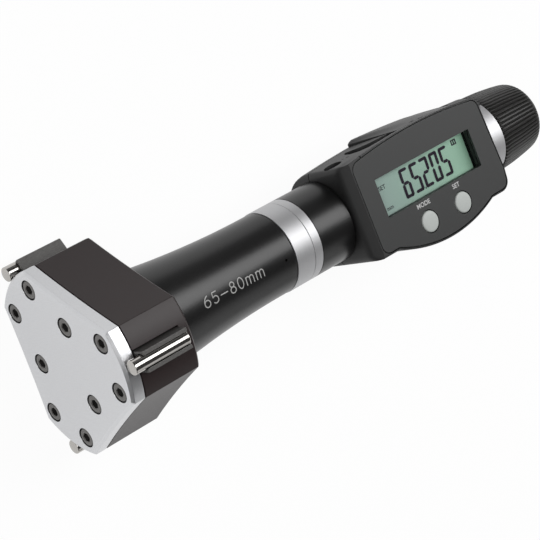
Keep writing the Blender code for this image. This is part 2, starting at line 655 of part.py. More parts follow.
def make_barrel():
    flare = BARREL_FLARE_END - BARREL_FRONT
    stations = [BARREL_FLARE_END - flare * i / BARREL_FLARE_STEPS for i in range(BARREL_FLARE_STEPS + 1)]
    outer = [(station, barrel_radius(station)) for station in stations]
    spigot_seat = SPIGOT_REAR + GAP
    profile = [
        (BARREL_REAR, TUBE_SEAT_RADIUS),
        (BARREL_REAR, BARREL_REAR_RADIUS - RING_EDGE),
        (BARREL_REAR - RING_EDGE, BARREL_REAR_RADIUS),
        *outer,
        (BARREL_FRONT, SPIGOT_RADIUS + GAP),
        (spigot_seat, SPIGOT_RADIUS + GAP),
        (spigot_seat, GUIDE_BORE_RADIUS),
        (BARREL_SEAT, GUIDE_BORE_RADIUS),
        (BARREL_SEAT, TUBE_SEAT_RADIUS),
    ]
    barrel = turned("barrel", profile, LARGE_STEPS, PARTS, rotation=ALONG_X)
    paint(barrel, finish("black_anodised", (0.022, 0.022, 0.023), 0.32, 0.4))


def make_rings():
    bright = finish("turned_aluminium", (0.68, 0.68, 0.69), 0.26, 1.0)
    dark = finish("collar_black", (0.02, 0.02, 0.021), 0.3, 0.4)
    rings = (
        ("front_ring", FRONT_RING_START, FRONT_RING_WIDTH, bright),
        ("rear_ring", REAR_RING_START, REAR_RING_WIDTH, bright),
        ("collar", COLLAR_START, COLLAR_WIDTH, dark),
    )
    for name, start, width, material in rings:
        ring = tube(name, start, start + width, RING_RADIUS, TUBE_SEAT_RADIUS, RING_EDGE, LARGE_STEPS,
                    PARTS, rotation=ALONG_X)
        paint(ring, material)


def make_core_tube(readout):
    profile = [
        (TUBE_REAR, TUBE_RADIUS),
        (TUBE_FRONT, TUBE_RADIUS),
        (TUBE_FRONT, ROD_BORE),
        (TUBE_FRONT + TUBE_WEB, ROD_BORE),
        (TUBE_FRONT + TUBE_WEB, TUBE_BORE),
        (TUBE_REAR, TUBE_BORE),
    ]
    core = turned("core_tube", profile, LARGE_STEPS, PARTS, rotation=ALONG_X)
    for i, station in enumerate(CASE_SCREW_STATIONS, start=1):
        hole = cylinder(f"tube_hole_{i}", -TUBE_RADIUS - OVERCUT, OVERCUT - TUBE_BORE,
                        CASE_SCREW_RADIUS + GAP, SMALL_STEPS, location=(station, 0, 0), parent=readout)
        combine(core, hole)
    paint(core, finish("tube_steel", (0.5, 0.5, 0.49), 0.3, 1.0))


def housing_form(name, inset, top, readout, collection=None):
    # The moulded form is where three prisms meet: the plan, the cross-section and the side view
    front_high, front_low = NOSE_CORNER_RADII
    plan_corners = [(HOUSING_FRONT, FACE_TOP + RIM_WIDTH, front_high),
                    (HOUSING_FRONT, -FACE_BOTTOM - RIM_WIDTH, front_low)]
    grown = inset_corners(FACE_CORNERS, -RIM_WIDTH)[2:]
    plan_corners += [(x, y, max(radius, 2 * HOUSING_WALL + GAP), bulge) for x, y, radius, bulge in grown]
    low = -HOUSING_BACK
    above = DISPLAY_HEIGHT + OVERCUT
    wide = FACE_HEEL + BOTTOM_BULGE + 2 * RIM_WIDTH
    tall = FACE_TOP + TOP_BULGE + 2 * RIM_WIDTH
    section_corners = [
        (-wide, above, GAP),
        (-wide, low + BUTTON_CHINE[1], BUTTON_CHINE_RADII[0]),
        (BUTTON_CHINE[0] - wide, low, BUTTON_CHINE_RADII[1]),
        (tall - BATTERY_CHINE[0], low, BATTERY_CHINE_RADII[0]),
        (tall, low + BATTERY_CHINE[1], BATTERY_CHINE_RADII[1]),
        (tall, above, GAP),
    ]
    front_wall = HOUSING_FRONT + (HOUSING_FRONT_WALL - HOUSING_WALL if inset else 0)
    side_corners = [
        (front_wall, low + BACK_RISE, BACK_END_RADII[0]),
        (HOUSING_FRONT + BACK_LEVEL_START, low, BACK_RADIUS),
        (HOUSING_REAR - BACK_LEVEL_END, low, BACK_RADIUS),
        (HOUSING_REAR, low + BACK_RISE, BACK_END_RADII[1]),
        (HOUSING_REAR, above, GAP),
        (front_wall + NOSE_SLOPE + OVERCUT * NOSE_SLOPE / NOSE_DROP, above, GAP),
        (front_wall, DISPLAY_HEIGHT - NOSE_DROP, NOSE_RADIUS),
    ]
    plan = rounded_outline(inset_corners(plan_corners, inset))
    section = rounded_outline(inset_corners(section_corners, inset))
    side = rounded_outline(inset_corners(side_corners, inset))
    bm = extruded(name, plan, low - OVERCUT, top)
    if not inset:
        bevel_rim(bm, top, RIM_EDGE, 2)
    form = add_object(name, mesh_from(name, bm), collection, parent=readout)
    reach = HOUSING_REAR + OVERCUT
    across = add_object(name + "_section", mesh_from(name, extruded(name, section, 0, reach)),
                        rotation=ALONG_X, parent=readout)
    along = add_object(name + "_side", mesh_from(name, extruded(name, side, -reach, reach)),
                       rotation=UPRIGHT, parent=readout)
    combine(form, across, "INTERSECT")
    combine(form, along, "INTERSECT")
    return form


def wall_height(x):
    # Outer wall of the housing on the battery side, as a distance from the tool's axis
    middle = (FACE_LEFT + FACE_RIGHT) / 2
    half = (FACE_RIGHT - FACE_LEFT) / 2
    return FACE_TOP + RIM_WIDTH + TOP_BULGE * (1 - ((x - middle) / half) ** 2)


def cover_side(grow):
    # Outline of the battery cover in X and Y, or with grow, of the seat that it lies in
    front = COVER_FRONT - grow
    rear = COVER_REAR + grow
    seat = COVER_SEAT_DEPTH - GAP + grow
    inner = [(front + (rear - front) * i / COVER_STEPS) for i in range(COVER_STEPS + 1)]
    points = [Vector((x, wall_height(x) - seat)) for x in inner]
    above = OVERCUT if grow else 0
    top_rear = Vector((rear, wall_height(rear) - COVER_TAIL + above))
    top_front = Vector((front, wall_height(front) + COVER_STEP + above))
    return points + [top_rear] + arc_between(top_rear, top_front, -COVER_BOW, COVER_STEPS) + [top_front]


def make_housing(readout):
    plastic = finish("housing_plastic", (0.035, 0.035, 0.036), 0.55)
    cavity = housing_form("cavity", HOUSING_WALL, CAVITY_TOP, readout)
    reach = HOUSING_REAR + OVERCUT
    width = DISPLAY_HEIGHT * 2
    cover_reach = wall_height(COVER_FRONT) + COVER_STEP + OVERCUT
    face = extruded("fascia_seat", rounded_outline(inset_corners(FACE_CORNERS, -GAP)),
                    FASCIA_SEAT, DISPLAY_HEIGHT + OVERCUT)
    fascia_seat = add_object("fascia_seat", mesh_from("fascia_seat", face), parent=readout)
    window = block((LCD_LEFT, LCD_BOTTOM, CAVITY_TOP - OVERCUT), (LCD_RIGHT, LCD_TOP, FASCIA_SEAT + OVERCUT))
    window_cut = add_object("window_opening", mesh_from("window_opening", window), parent=readout)
    buttons = [cylinder(f"{name}_opening", CAVITY_TOP - OVERCUT, DISPLAY_HEIGHT + OVERCUT,
                        BUTTON_RADIUS + BUTTON_GAP, MEDIUM_STEPS, location=(*centre, 0), parent=readout)
               for name, centre in BUTTONS.items()]
    front_bore = cylinder("front_bore", HOUSING_FRONT - OVERCUT, HOUSING_FRONT + HOUSING_FRONT_WALL + OVERCUT,
                          TUBE_RADIUS + GAP, LARGE_STEPS, rotation=ALONG_X)
    rear_bore = cylinder("rear_bore", SLEEVE_FRONT - TRAVEL_OUT - GAP, HOUSING_REAR + OVERCUT,
                         SLEEVE_RADIUS + GAP, LARGE_STEPS, rotation=ALONG_X)
    seat = add_object("cover_seat", mesh_from("cover_seat", extruded(
        "cover_seat", cover_side(GAP), COVER_LOW - GAP, COVER_HIGH + GAP)), parent=readout)
    battery_hole = cylinder("battery_hole", BATTERY_BASE, cover_reach, BATTERY_RADIUS + GAP, MEDIUM_STEPS,
                            rotation=(radians(-90), 0, 0), location=(BATTERY_X, 0, BATTERY_Z), parent=readout)
    port_half = (PORT_SIZE[0] / 2, PORT_SIZE[1] / 2)
    port_x = HOUSING_FRONT + PORT_OFFSET
    port_corners = [(port_x + x * port_half[0], PORT_HEIGHT + z * port_half[1], port_half[1] * PORT_ROUNDING)
                    for x, z in ((-1, -1), (1, -1), (1, 1), (-1, 1))]
    port = extruded("port", rounded_outline(port_corners), -cover_reach, PORT_DEPTH - wall_height(port_x))
    port_cut = add_object("port", mesh_from("port", port), rotation=UPRIGHT, parent=readout)
    groove = block((COVER_FRONT - GROOVE_LENGTH, wall_height(COVER_FRONT) - COVER_SEAT_DEPTH, COVER_HIGH),
                   (COVER_FRONT, cover_reach, COVER_HIGH + GROOVE_WIDTH))
    groove_cut = add_object("side_groove", mesh_from("side_groove", groove), parent=readout)
    shared = [cavity, front_bore, rear_bore, seat, battery_hole]
    above = block((0, -width, -GAP / 2), (reach, width, width))
    below = block((0, -width, -width), (reach, width, GAP / 2))
    front_cuts = [fascia_seat, window_cut, *buttons, port_cut, groove_cut]
    shells = (
        ("housing_front", front_cuts, add_object("below_parting", mesh_from("below", below), parent=readout)),
        ("housing_back", [], add_object("above_parting", mesh_from("above", above), parent=readout)),
    )
    for name, cuts, other_half in shells:
        shell = housing_form(name, 0, DISPLAY_HEIGHT, readout, PARTS)
        for cutter in [other_half, *shared, *cuts]:
            combine(shell, cutter)
        if name == "housing_back":
            for i, station in enumerate(CASE_SCREW_STATIONS, start=1):
                combine(shell, case_screw_cutter(i, station, readout))
        paint(shell, plastic)


def case_screw_profile(grow):
    head_end = -HOUSING_BACK + CASE_SCREW_HEAD_HEIGHT
    tip = OVERCUT - TUBE_RADIUS if grow else GAP - TUBE_BORE - GAP
    head = -HOUSING_BACK - (OVERCUT if grow else 0)
    return [
        (tip, 0),
        (tip, CASE_SCREW_RADIUS + grow),
        (head_end + grow, CASE_SCREW_RADIUS + grow),
        (head_end + grow, CASE_SCREW_HEAD + grow),
        (head, CASE_SCREW_HEAD + grow),
        (head, 0),
    ]


def case_screw_cutter(number, station, readout):
    return turned(f"case_screw_hole_{number}", case_screw_profile(GAP), SMALL_STEPS,
                  location=(station, 0, 0), parent=readout)


def make_case_screws(readout):
    material = finish("case_screw_steel", (0.2, 0.2, 0.2), 0.35, 1.0)
    for i, station in enumerate(CASE_SCREW_STATIONS, start=1):
        place = {"location": (station, 0, 0), "parent": readout}
        screw = turned(f"case_screw_{i}", case_screw_profile(0), SMALL_STEPS, PARTS, **place)
        combine(screw, cylinder(f"case_socket_{i}", -HOUSING_BACK - OVERCUT, CASE_SOCKET_DEPTH - HOUSING_BACK,
                                CASE_SOCKET_RADIUS, 6, **place))
        paint(screw, material)


def make_fascia(readout):
    outline = rounded_outline(FACE_CORNERS)
    bm = extruded("fascia", outline, DISPLAY_HEIGHT - FASCIA_THICKNESS, DISPLAY_HEIGHT)
    bevel_rim(bm, DISPLAY_HEIGHT, FASCIA_EDGE)
    fascia = add_object("fascia", mesh_from("fascia", bm), PARTS, parent=readout)
    opening = block((LCD_LEFT, LCD_BOTTOM, FASCIA_SEAT - OVERCUT),
                    (LCD_RIGHT, LCD_TOP, DISPLAY_HEIGHT + OVERCUT))
    combine(fascia, add_object("fascia_window", mesh_from("fascia_window", opening), parent=readout))
    for name, centre in BUTTONS.items():
        combine(fascia, cylinder(f"fascia_{name}", FASCIA_SEAT, DISPLAY_HEIGHT + OVERCUT,
                                 BUTTON_RADIUS + BUTTON_GAP, MEDIUM_STEPS, location=(*centre, 0),
                                 parent=readout))
    paint(fascia, finish("fascia_film", (0.085, 0.085, 0.087), 0.5))


def make_display(readout):
    low = (LCD_LEFT - LCD_BORDER, LCD_BOTTOM - LCD_BORDER)
    high = LCD_TOP + LCD_BORDER
    window_glass = finish("window_glass", (0.6, 0.68, 0.64), 0.08)
    green = finish("lcd_green", (0.28, 0.4, 0.33), 0.3)
    layers = (
        ("lcd_window", WINDOW_BASE, WINDOW_THICKNESS, LCD_RIGHT + LCD_BORDER, window_glass),
        ("lcd_cell", CELL_BASE, CELL_THICKNESS, BOARD_REAR, green),
    )
    for name, base, thickness, rear, material in layers:
        bm = block((*low, base), (rear, high, base + thickness))
        paint(add_object(name, mesh_from(name, bm), PARTS, parent=readout), material)
    board_outline = rounded_outline(inset_corners(FACE_CORNERS, BOARD_INSET))
    bm = extruded("circuit_board", board_outline, BOARD_BASE, BOARD_BASE + BOARD_THICKNESS)
    board = add_object("circuit_board", mesh_from("circuit_board", bm), PARTS, parent=readout)
    cut = block((BOARD_REAR, -DISPLAY_HEIGHT, 0), (HOUSING_REAR, DISPLAY_HEIGHT, DISPLAY_HEIGHT))
    combine(board, add_object("board_end", mesh_from("board_end", cut), parent=readout))
    paint(board, finish("board_green", (0.03, 0.16, 0.07), 0.45))


def make_buttons(readout):
    rubber = finish("button_grey", (0.6, 0.61, 0.61), 0.45)
    dome_steel = finish("dome_steel", (0.6, 0.6, 0.58), 0.3, 1.0)
    top = DISPLAY_HEIGHT + BUTTON_PROUD
    flange_top = CAVITY_TOP - GAP
    flange_base = flange_top - BUTTON_FLANGE_HEIGHT
    profile = [
        (top, 0),
        (top, BUTTON_RADIUS - BUTTON_EDGE),
        (top - BUTTON_EDGE, BUTTON_RADIUS),
        (flange_top, BUTTON_RADIUS),
        (flange_top, BUTTON_RADIUS + BUTTON_FLANGE),
        (flange_base, BUTTON_RADIUS + BUTTON_FLANGE),
        (flange_base, 0),
    ]
    dome_base = BOARD_BASE + BOARD_THICKNESS + GAP
    for name, centre in BUTTONS.items():
        place = {"location": (*centre, 0), "parent": readout}
        paint(turned(f"{name}_button", profile, MEDIUM_STEPS, PARTS, **place), rubber)
        dome = cylinder(f"{name}_dome", dome_base, dome_base + DOME_HEIGHT, DOME_RADIUS, SMALL_STEPS, PARTS,
                        **place)
        paint(dome, dome_steel)


def make_battery(readout):
    cover = add_object("battery_cover", mesh_from("battery_cover", extruded(
        "battery_cover", cover_side(0), COVER_LOW, COVER_HIGH)), PARTS, parent=readout)
    paint(cover, finish("cover_plastic", (0.06, 0.06, 0.06), 0.55))
    battery = cylinder("battery", BATTERY_BASE, BATTERY_BASE + BATTERY_THICKNESS, BATTERY_RADIUS,
                       MEDIUM_STEPS, PARTS, rotation=(radians(-90), 0, 0),
                       location=(BATTERY_X, 0, BATTERY_Z), parent=readout)
    paint(battery, finish("battery_steel", (0.6, 0.6, 0.58), 0.28, 1.0))


def fluted_loop(bm, radius, station):
    # One closed loop round the thimble: two points on each ridge and one at the bottom of each flute
    pitch = 2 * pi / FLUTES
    verts = []
    for i in range(FLUTES):
        for share, depth in ((-FLUTE_LAND / 2, 0), (FLUTE_LAND / 2, 0), (0.5, FLUTE_DEPTH)):
            angle = pitch * (i + share)
            reach = radius - depth
            verts.append(bm.verts.new((reach * cos(angle), reach * sin(angle), station)))
    return [bm.edges.new((verts[i - 1], verts[i])) for i in range(len(verts))]


def make_thimble():
    bm = bmesh.new()
    stations = [
        (THIMBLE_FRONT + THIMBLE_MOUTH, THIMBLE_RADIUS),
        (THIMBLE_FRONT + THIMBLE_TAPER_START, THIMBLE_RADIUS - THIMBLE_TAPER_DROP),
        *((THIMBLE_REAR - back, THIMBLE_RADIUS - drop) for back, drop in THIMBLE_TAIL),
    ]
    radius = THIMBLE_RADIUS - THIMBLE_MOUTH
    edges = fluted_loop(bm, radius, THIMBLE_FRONT)
    bmesh.ops.contextual_create(bm, geom=edges)
    for station, next_radius in stations:
        grown = bmesh.ops.extrude_edge_only(bm, edges=edges)["geom"]
        verts = [item for item in grown if isinstance(item, bmesh.types.BMVert)]
        edges = [item for item in grown if isinstance(item, bmesh.types.BMEdge)]
        scale = next_radius / radius
        for vert in verts:
            vert.co = (vert.co.x * scale, vert.co.y * scale, station)
        radius = next_radius
    bmesh.ops.contextual_create(bm, geom=edges)
    bmesh.ops.recalc_face_normals(bm, faces=bm.faces)
    thimble = add_object("thimble", mesh_from("thimble", bm), PARTS, rotation=ALONG_X)
    bore = [
        (THIMBLE_REAR + OVERCUT, 0),
        (THIMBLE_REAR + OVERCUT, THREAD_BORE),
        (THIMBLE_WEB, THREAD_BORE),
        (THIMBLE_WEB, TUBE_SEAT_RADIUS),
        (SLEEVE_SPIGOT_REAR + GAP, TUBE_SEAT_RADIUS),
        (SLEEVE_SPIGOT_REAR + GAP, SLEEVE_SPIGOT_RADIUS + GAP),
        (THIMBLE_FRONT - OVERCUT, SLEEVE_SPIGOT_RADIUS + GAP),
        (THIMBLE_FRONT - OVERCUT, 0),
    ]
    combine(thimble, turned("thimble_bore", bore, LARGE_STEPS, rotation=ALONG_X))
    paint(thimble, finish("thimble_black", (0.03, 0.029, 0.027), 0.42, 0.3))


def make_thimble_sleeve():
    shoulder = THIMBLE_FRONT - GAP
    profile = [
        (SLEEVE_SPIGOT_REAR, TUBE_SEAT_RADIUS),
        (SLEEVE_SPIGOT_REAR, SLEEVE_SPIGOT_RADIUS),
        (shoulder, SLEEVE_SPIGOT_RADIUS),
        (shoulder, SLEEVE_RADIUS - RING_EDGE),
        (shoulder - RING_EDGE, SLEEVE_RADIUS),
        (SLEEVE_FRONT + RING_EDGE, SLEEVE_RADIUS),
        (SLEEVE_FRONT, SLEEVE_RADIUS - RING_EDGE),
        (SLEEVE_FRONT, TUBE_SEAT_RADIUS),
    ]
    sleeve = turned("thimble_sleeve", profile, LARGE_STEPS, PARTS, rotation=ALONG_X)
    paint(sleeve, finish("sleeve_aluminium", (0.7, 0.7, 0.71), 0.28, 1.0))


def make_screw_and_nut():
    steel = finish("screw_ground_steel", (0.5, 0.5, 0.49), 0.28, 1.0)
    brass = finish("nut_bronze", (0.55, 0.4, 0.2), 0.35, 1.0)
    profile = [
        (THIMBLE_REAR, 0),
        (THIMBLE_REAR, THREAD_RADIUS),
        (THREAD_FRONT, THREAD_RADIUS),
        (THREAD_FRONT - RING_EDGE, SCREW_NOSE_RADIUS),
        (SCREW_NOSE, SCREW_NOSE_RADIUS),
        (SCREW_NOSE, 0),
    ]
    paint(turned("micrometer_screw", profile, MEDIUM_STEPS, PARTS, rotation=ALONG_X), steel)
    nut = tube("guide_nut", TUBE_REAR - NUT_LENGTH, TUBE_REAR, TUBE_BORE - GAP, THREAD_BORE, RING_EDGE,
               MEDIUM_STEPS, PARTS, rotation=ALONG_X)
    paint(nut, brass)


def make_end_cap():
    front = THIMBLE_REAR + GAP
    rear = front + END_CAP_LENGTH
    radius = THIMBLE_RADIUS - THIMBLE_TAIL[-1][1] - END_CAP_INSET
    profile = [
        (rear, 0),
        (rear, radius - END_CAP_EDGE),
        (rear - END_CAP_EDGE, radius),
        (front, radius),
        (front, 0),
    ]
    cap = turned("end_cap", profile, MEDIUM_STEPS, PARTS, rotation=ALONG_X)
    paint(cap, finish("end_cap_grey", (0.16, 0.14, 0.13), 0.4, 0.5))


def make_encoder():
    stator_front = SCREW_NOSE + STATOR_OFFSET
    stator_rear = stator_front + STATOR_THICKNESS
    bore = SCREW_NOSE_RADIUS + GAP
    stator = tube("encoder_stator", stator_front, stator_rear, TUBE_BORE - GAP, bore + GAP, GAP, MEDIUM_STEPS,
                  PARTS, rotation=ALONG_X)
    paint(stator, finish("stator_green", (0.04, 0.15, 0.08), 0.45))
    rotor_front = stator_rear + GAP
    rotor = tube("encoder_rotor", rotor_front, rotor_front + ROTOR_THICKNESS, TUBE_BORE - ROTOR_INSET, bore,
                 GAP, MEDIUM_STEPS, PARTS, rotation=ALONG_X)
    paint(rotor, finish("rotor_copper", (0.5, 0.3, 0.2), 0.35, 1.0))


def build():
    readout = bpy.data.objects.new("readout_frame", None)
    PARTS.objects.link(readout)
    readout.rotation_euler.x = READOUT_TURN
    bpy.context.view_layer.update()
    make_front_plate()
    make_plate_screws()
    make_head_body()
    make_anvils()
    make_cone_and_rod()
    make_barrel()
    make_rings()
    make_core_tube(readout)
    make_housing(readout)
    make_case_screws(readout)
    make_fascia(readout)
    make_display(readout)
    make_buttons(readout)
    make_battery(readout)
    make_thimble()
    make_thimble_sleeve()
    make_screw_and_nut()
    make_end_cap()
    make_encoder()


build()
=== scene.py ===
from math import cos, pi, radians, sin, sqrt, tan

import bmesh
import bpy
from mathutils import Matrix, Vector


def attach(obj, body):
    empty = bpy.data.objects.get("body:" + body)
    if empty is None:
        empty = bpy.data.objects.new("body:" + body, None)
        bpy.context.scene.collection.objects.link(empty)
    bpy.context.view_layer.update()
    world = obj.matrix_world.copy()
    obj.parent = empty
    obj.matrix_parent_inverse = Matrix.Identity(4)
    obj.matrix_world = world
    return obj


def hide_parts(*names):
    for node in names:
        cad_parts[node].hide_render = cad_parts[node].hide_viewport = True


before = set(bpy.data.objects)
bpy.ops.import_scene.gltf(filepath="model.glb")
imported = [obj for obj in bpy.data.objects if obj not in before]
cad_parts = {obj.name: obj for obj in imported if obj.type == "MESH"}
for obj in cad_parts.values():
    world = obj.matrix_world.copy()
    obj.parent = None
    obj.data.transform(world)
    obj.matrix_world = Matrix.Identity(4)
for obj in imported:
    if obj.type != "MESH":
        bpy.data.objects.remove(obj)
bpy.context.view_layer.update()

# Three-point inside micrometer. Sizes in this file are in mm unless a note says otherwise.
# X runs along the tool from the front plate, Z points along the upper anvil.
# The readout has its own frame, turned a little about X: its Z points out of the display.
mm = 0.001
scene = bpy.context.scene
readoutTurn = Matrix.Rotation(radians(-4.5), 4, "X")


def polar(radius, turn):
    return radius * cos(turn), radius * sin(turn)


def rotated(angle, axis):
    return Matrix.Rotation(radians(angle), 4, axis)


def joinLoops(bm, first, second):
    # Faces between two loops, or a fan where one loop is a single point
    count = max(len(first), len(second))
    for i in range(count):
        corners = [first[i - 1], first[i]] if len(first) > 1 else [first[0]]
        corners += [second[i], second[i - 1]] if len(second) > 1 else [second[0]]
        bm.faces.new(corners)


def loftOf(loops, wrap=False):
    # Skin over loops of (x, y, z) points; the ends are capped unless wrap joins them
    bm = bmesh.new()
    rings = [[bm.verts.new(point) for point in loop] for loop in loops]
    pairs = list(zip(rings, rings[1:]))
    if wrap:
        pairs.append((rings[-1], rings[0]))
    for first, second in pairs:
        joinLoops(bm, first, second)
    if not wrap:
        for ring in (rings[0], rings[-1]):
            if len(ring) > 2:
                bm.faces.new(ring)
    bmesh.ops.recalc_face_normals(bm, faces=bm.faces)
    return bm


def turned(profile, steps=96):
    # Lathe about X from (x, radius) points; a profile that never meets the axis is a ring
    loops = []
    for x, radius in profile:
        if radius < 0.001:
            loops.append([(x, 0, 0)])
        else:
            turns = [2 * pi * i / steps for i in range(steps)]
            loops.append([(x, *polar(radius, turn)) for turn in turns])
    return loftOf(loops, wrap=profile[0][1] > 0.001 and profile[-1][1] > 0.001)


def plug(low, high, radius, steps=48):
    # Round rod along X
    return turned([(high, 0), (high, radius), (low, radius), (low, 0)], steps)


def eased(points, steps=4):
    # Rounds each corner that gives a radius: (x, y, radius)
    result = []
    for i, point in enumerate(points):
        here = Vector(point[:2])
        if len(point) < 3 or not point[2]:
            result.append(tuple(here))
            continue
        back = Vector(points[i - 1][:2]) - here
        ahead = Vector(points[(i + 1) % len(points)][:2]) - here
        half = back.angle(ahead) / 2
        reach = min(point[2] / tan(half), back.length * 0.49, ahead.length * 0.49)
        radius = reach * tan(half)
        centre = here + (back.normalized() + ahead.normalized()).normalized() * radius / sin(half)
        start = here + back.normalized() * reach - centre
        end = here + ahead.normalized() * reach - centre
        result += [tuple(centre + radius * start.slerp(end, k / steps).normalized())
                   for k in range(steps + 1)]
    return result


def arcBetween(start, end, bulge, steps):
    # Points inside an arc whose middle stands off the chord, to its left, by bulge
    chord = end - start
    radius = ((chord.length / 2) ** 2 + bulge ** 2) / (2 * abs(bulge))
    left = Vector((-chord.y, chord.x)).normalized() * (1 if bulge > 0 else -1)
    centre = (start + end) / 2 + left * (abs(bulge) - radius)
    return [centre + radius * (start - centre).slerp(end - centre, i / steps).normalized()
            for i in range(1, steps)]


def roundedOutline(corners, steps=8, bulgeSteps=36):
    # Each corner is x, y, radius and the bulge of the edge that leaves it
    arcs = []
    for i, corner in enumerate(corners):
        here = Vector(corner[:2])
        back = (Vector(corners[i - 1][:2]) - here).normalized()
        ahead = (Vector(corners[(i + 1) % len(corners)][:2]) - here).normalized()
        half = back.angle(ahead) / 2
        centre = here + (back + ahead).normalized() * corner[2] / sin(half)
        start = here + back * corner[2] / tan(half) - centre
        end = here + ahead * corner[2] / tan(half) - centre
        arcs.append([centre + corner[2] * start.slerp(end, k / steps).normalized() for k in range(steps + 1)])
    points = []
    for i, corner in enumerate(corners):
        points += arcs[i]
        if len(corner) > 3 and corner[3]:
            points += arcBetween(arcs[i][-1], arcs[(i + 1) % len(arcs)][0], corner[3], bulgeSteps)
    return points


def insetPoint(points, i, distance):
    # Where one point of an anticlockwise outline goes when the outline is drawn in
    here = Vector(points[i][:2])
    before = (here - Vector(points[i - 1][:2])).normalized()
    after = (Vector(points[(i + 1) % len(points)][:2]) - here).normalized()
    inwards = Vector((-before.y, before.x)) + Vector((-after.y, after.x))
    return here + inwards * distance / (1 + before.dot(after))


def insetCorners(corners, distance):
    return [(*insetPoint(corners, i, distance), max(corner[2] - distance, 0.3), *corner[3:])
            for i, corner in enumerate(corners)]


def insetOutline(points, distance):
    return [insetPoint(points, i, distance) for i in range(len(points))]


def slab(outline, levels):
    # Solid on a flat outline; levels are (height, inset) pairs
    loops = []
    for height, inset in levels:
        flat = insetOutline(outline, inset) if inset else outline
        loops.append([(point[0], point[1], height) for point in flat])
    return loftOf(loops)


def moved(bm, matrix):
    bmesh.ops.transform(bm, matrix=matrix, verts=bm.verts)
    return bm


def boxAt(low, high):
    bm = bmesh.new()
    size = Vector(high) - Vector(low)
    bmesh.ops.create_cube(bm, size=1.0, matrix=Matrix.Diagonal((*size, 1.0)))
    bmesh.ops.translate(bm, verts=bm.verts, vec=(Vector(low) + Vector(high)) / 2)
    return bm


def tilted(bm):
    # From the readout's frame into the tool's
    return moved(bm, readoutTurn)


def meshOf(name, bm):
    bmesh.ops.scale(bm, vec=(mm, mm, mm), verts=bm.verts)
    mesh = bpy.data.meshes.new(name)
    bm.to_mesh(mesh)
    bm.free()
    return mesh


def makePiece(name, bm, finish, stands=(), body="frame"):
    piece = bpy.data.objects.new(name, meshOf(name, bm))
    scene.collection.objects.link(piece)
    piece.data.materials.append(finishes[finish])
    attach(piece, body)
    if stands:
        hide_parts(*stands)
    return piece


def evaluated(piece):
    bpy.context.view_layer.update()
    return bpy.data.meshes.new_from_object(piece.evaluated_get(bpy.context.evaluated_depsgraph_get()))


def carve(piece, bm, operation="DIFFERENCE"):
    tool = bpy.data.objects.new("tool", meshOf("tool", bm))
    scene.collection.objects.link(tool)
    boolean = piece.modifiers.new("carve", "BOOLEAN")
    boolean.operation = operation
    boolean.solver = "EXACT"
    boolean.object = tool
    shape = evaluated(piece)
    piece.modifiers.clear()
    piece.data = shape
    bpy.data.objects.remove(tool)


def smoothOut(piece, edge=0.0, crease=35, segments=2):
    # Smooth shading, with the sharp edges broken by a small round where edge gives its width
    piece.data.shade_smooth()
    if edge:
        bevel = piece.modifiers.new("edges", "BEVEL")
        bevel.width = edge * mm
        bevel.segments = segments
        bevel.limit_method = "ANGLE"
        bevel.angle_limit = radians(crease)
        bevel.use_clamp_overlap = False
        bevel.harden_normals = True
    else:
        piece.data.set_sharp_from_angle(angle=radians(crease))
        weigh = piece.modifiers.new("normals", "WEIGHTED_NORMAL")
        weigh.keep_sharp = True
    return piece


def lettering(text, height, bold):
    # Flat lettering about the origin, cut into narrow strips
    curve = bpy.data.curves.new("lettering", "FONT")
    curve.body = text
    curve.size = height / 0.72
    curve.align_x = "CENTER"
    curve.align_y = "CENTER"
    curve.offset = bold
    curve.resolution_u = 4
    source = bpy.data.objects.new("lettering", curve)
    scene.collection.objects.link(source)
    bm = bmesh.new()
    bm.from_mesh(evaluated(source))
    bpy.data.objects.remove(source)
    for k in range(-12, 13):
        geometry = bm.verts[:] + bm.edges[:] + bm.faces[:]
        bmesh.ops.bisect_plane(bm, geom=geometry, plane_co=(0, k * height / 16, 0), plane_no=(0, 1, 0))
    return bm


def feed(node, inputs):
    # Each input gets a value, or a wire where the value is another node's socket
    for name, value in inputs.items():
        if isinstance(value, bpy.types.NodeSocket):
            node.id_data.links.new(value, node.inputs[name])
        else:
            node.inputs[name].default_value = value


def addNode(tree, kind, inputs=(), **values):
    node = tree.nodes.new(kind)
    for name, value in values.items():
        setattr(node, name, value)
    feed(node, dict(inputs))
    return node


def mathNode(tree, operation, first, second):
    return addNode(tree, "ShaderNodeMath", {0: first, 1: second}, operation=operation).outputs[0]


def objectPlace(tree):
    return addNode(tree, "ShaderNodeTexCoord").outputs["Object"]


def splitPlace(tree):
    return addNode(tree, "ShaderNodeSeparateXYZ", {0: objectPlace(tree)}).outputs


def rampNode(tree, value, first, last, ends=(0.0, 1.0)):
    node = addNode(tree, "ShaderNodeValToRGB", {"Fac": value})
    for element, place, colour in zip(node.color_ramp.elements, ends, (first, last)):
        element.position = place
        element.color = (*colour, 1.0)
    return node.outputs["Color"]


def axisCoordinates(tree):
    # Coordinates for turned pieces: distance along X plus distance from the axis
    place = splitPlace(tree)
    across = addNode(tree, "ShaderNodeCombineXYZ", {"Y": place["Y"], "Z": place["Z"]})
    reach = addNode(tree, "ShaderNodeVectorMath", {0: across.outputs[0]}, operation="LENGTH")
    return mathNode(tree, "ADD", place["X"], reach.outputs["Value"])


def newMaterial(name):
    material = bpy.data.materials.new(name)
    material.use_nodes = True
    return material, material.node_tree


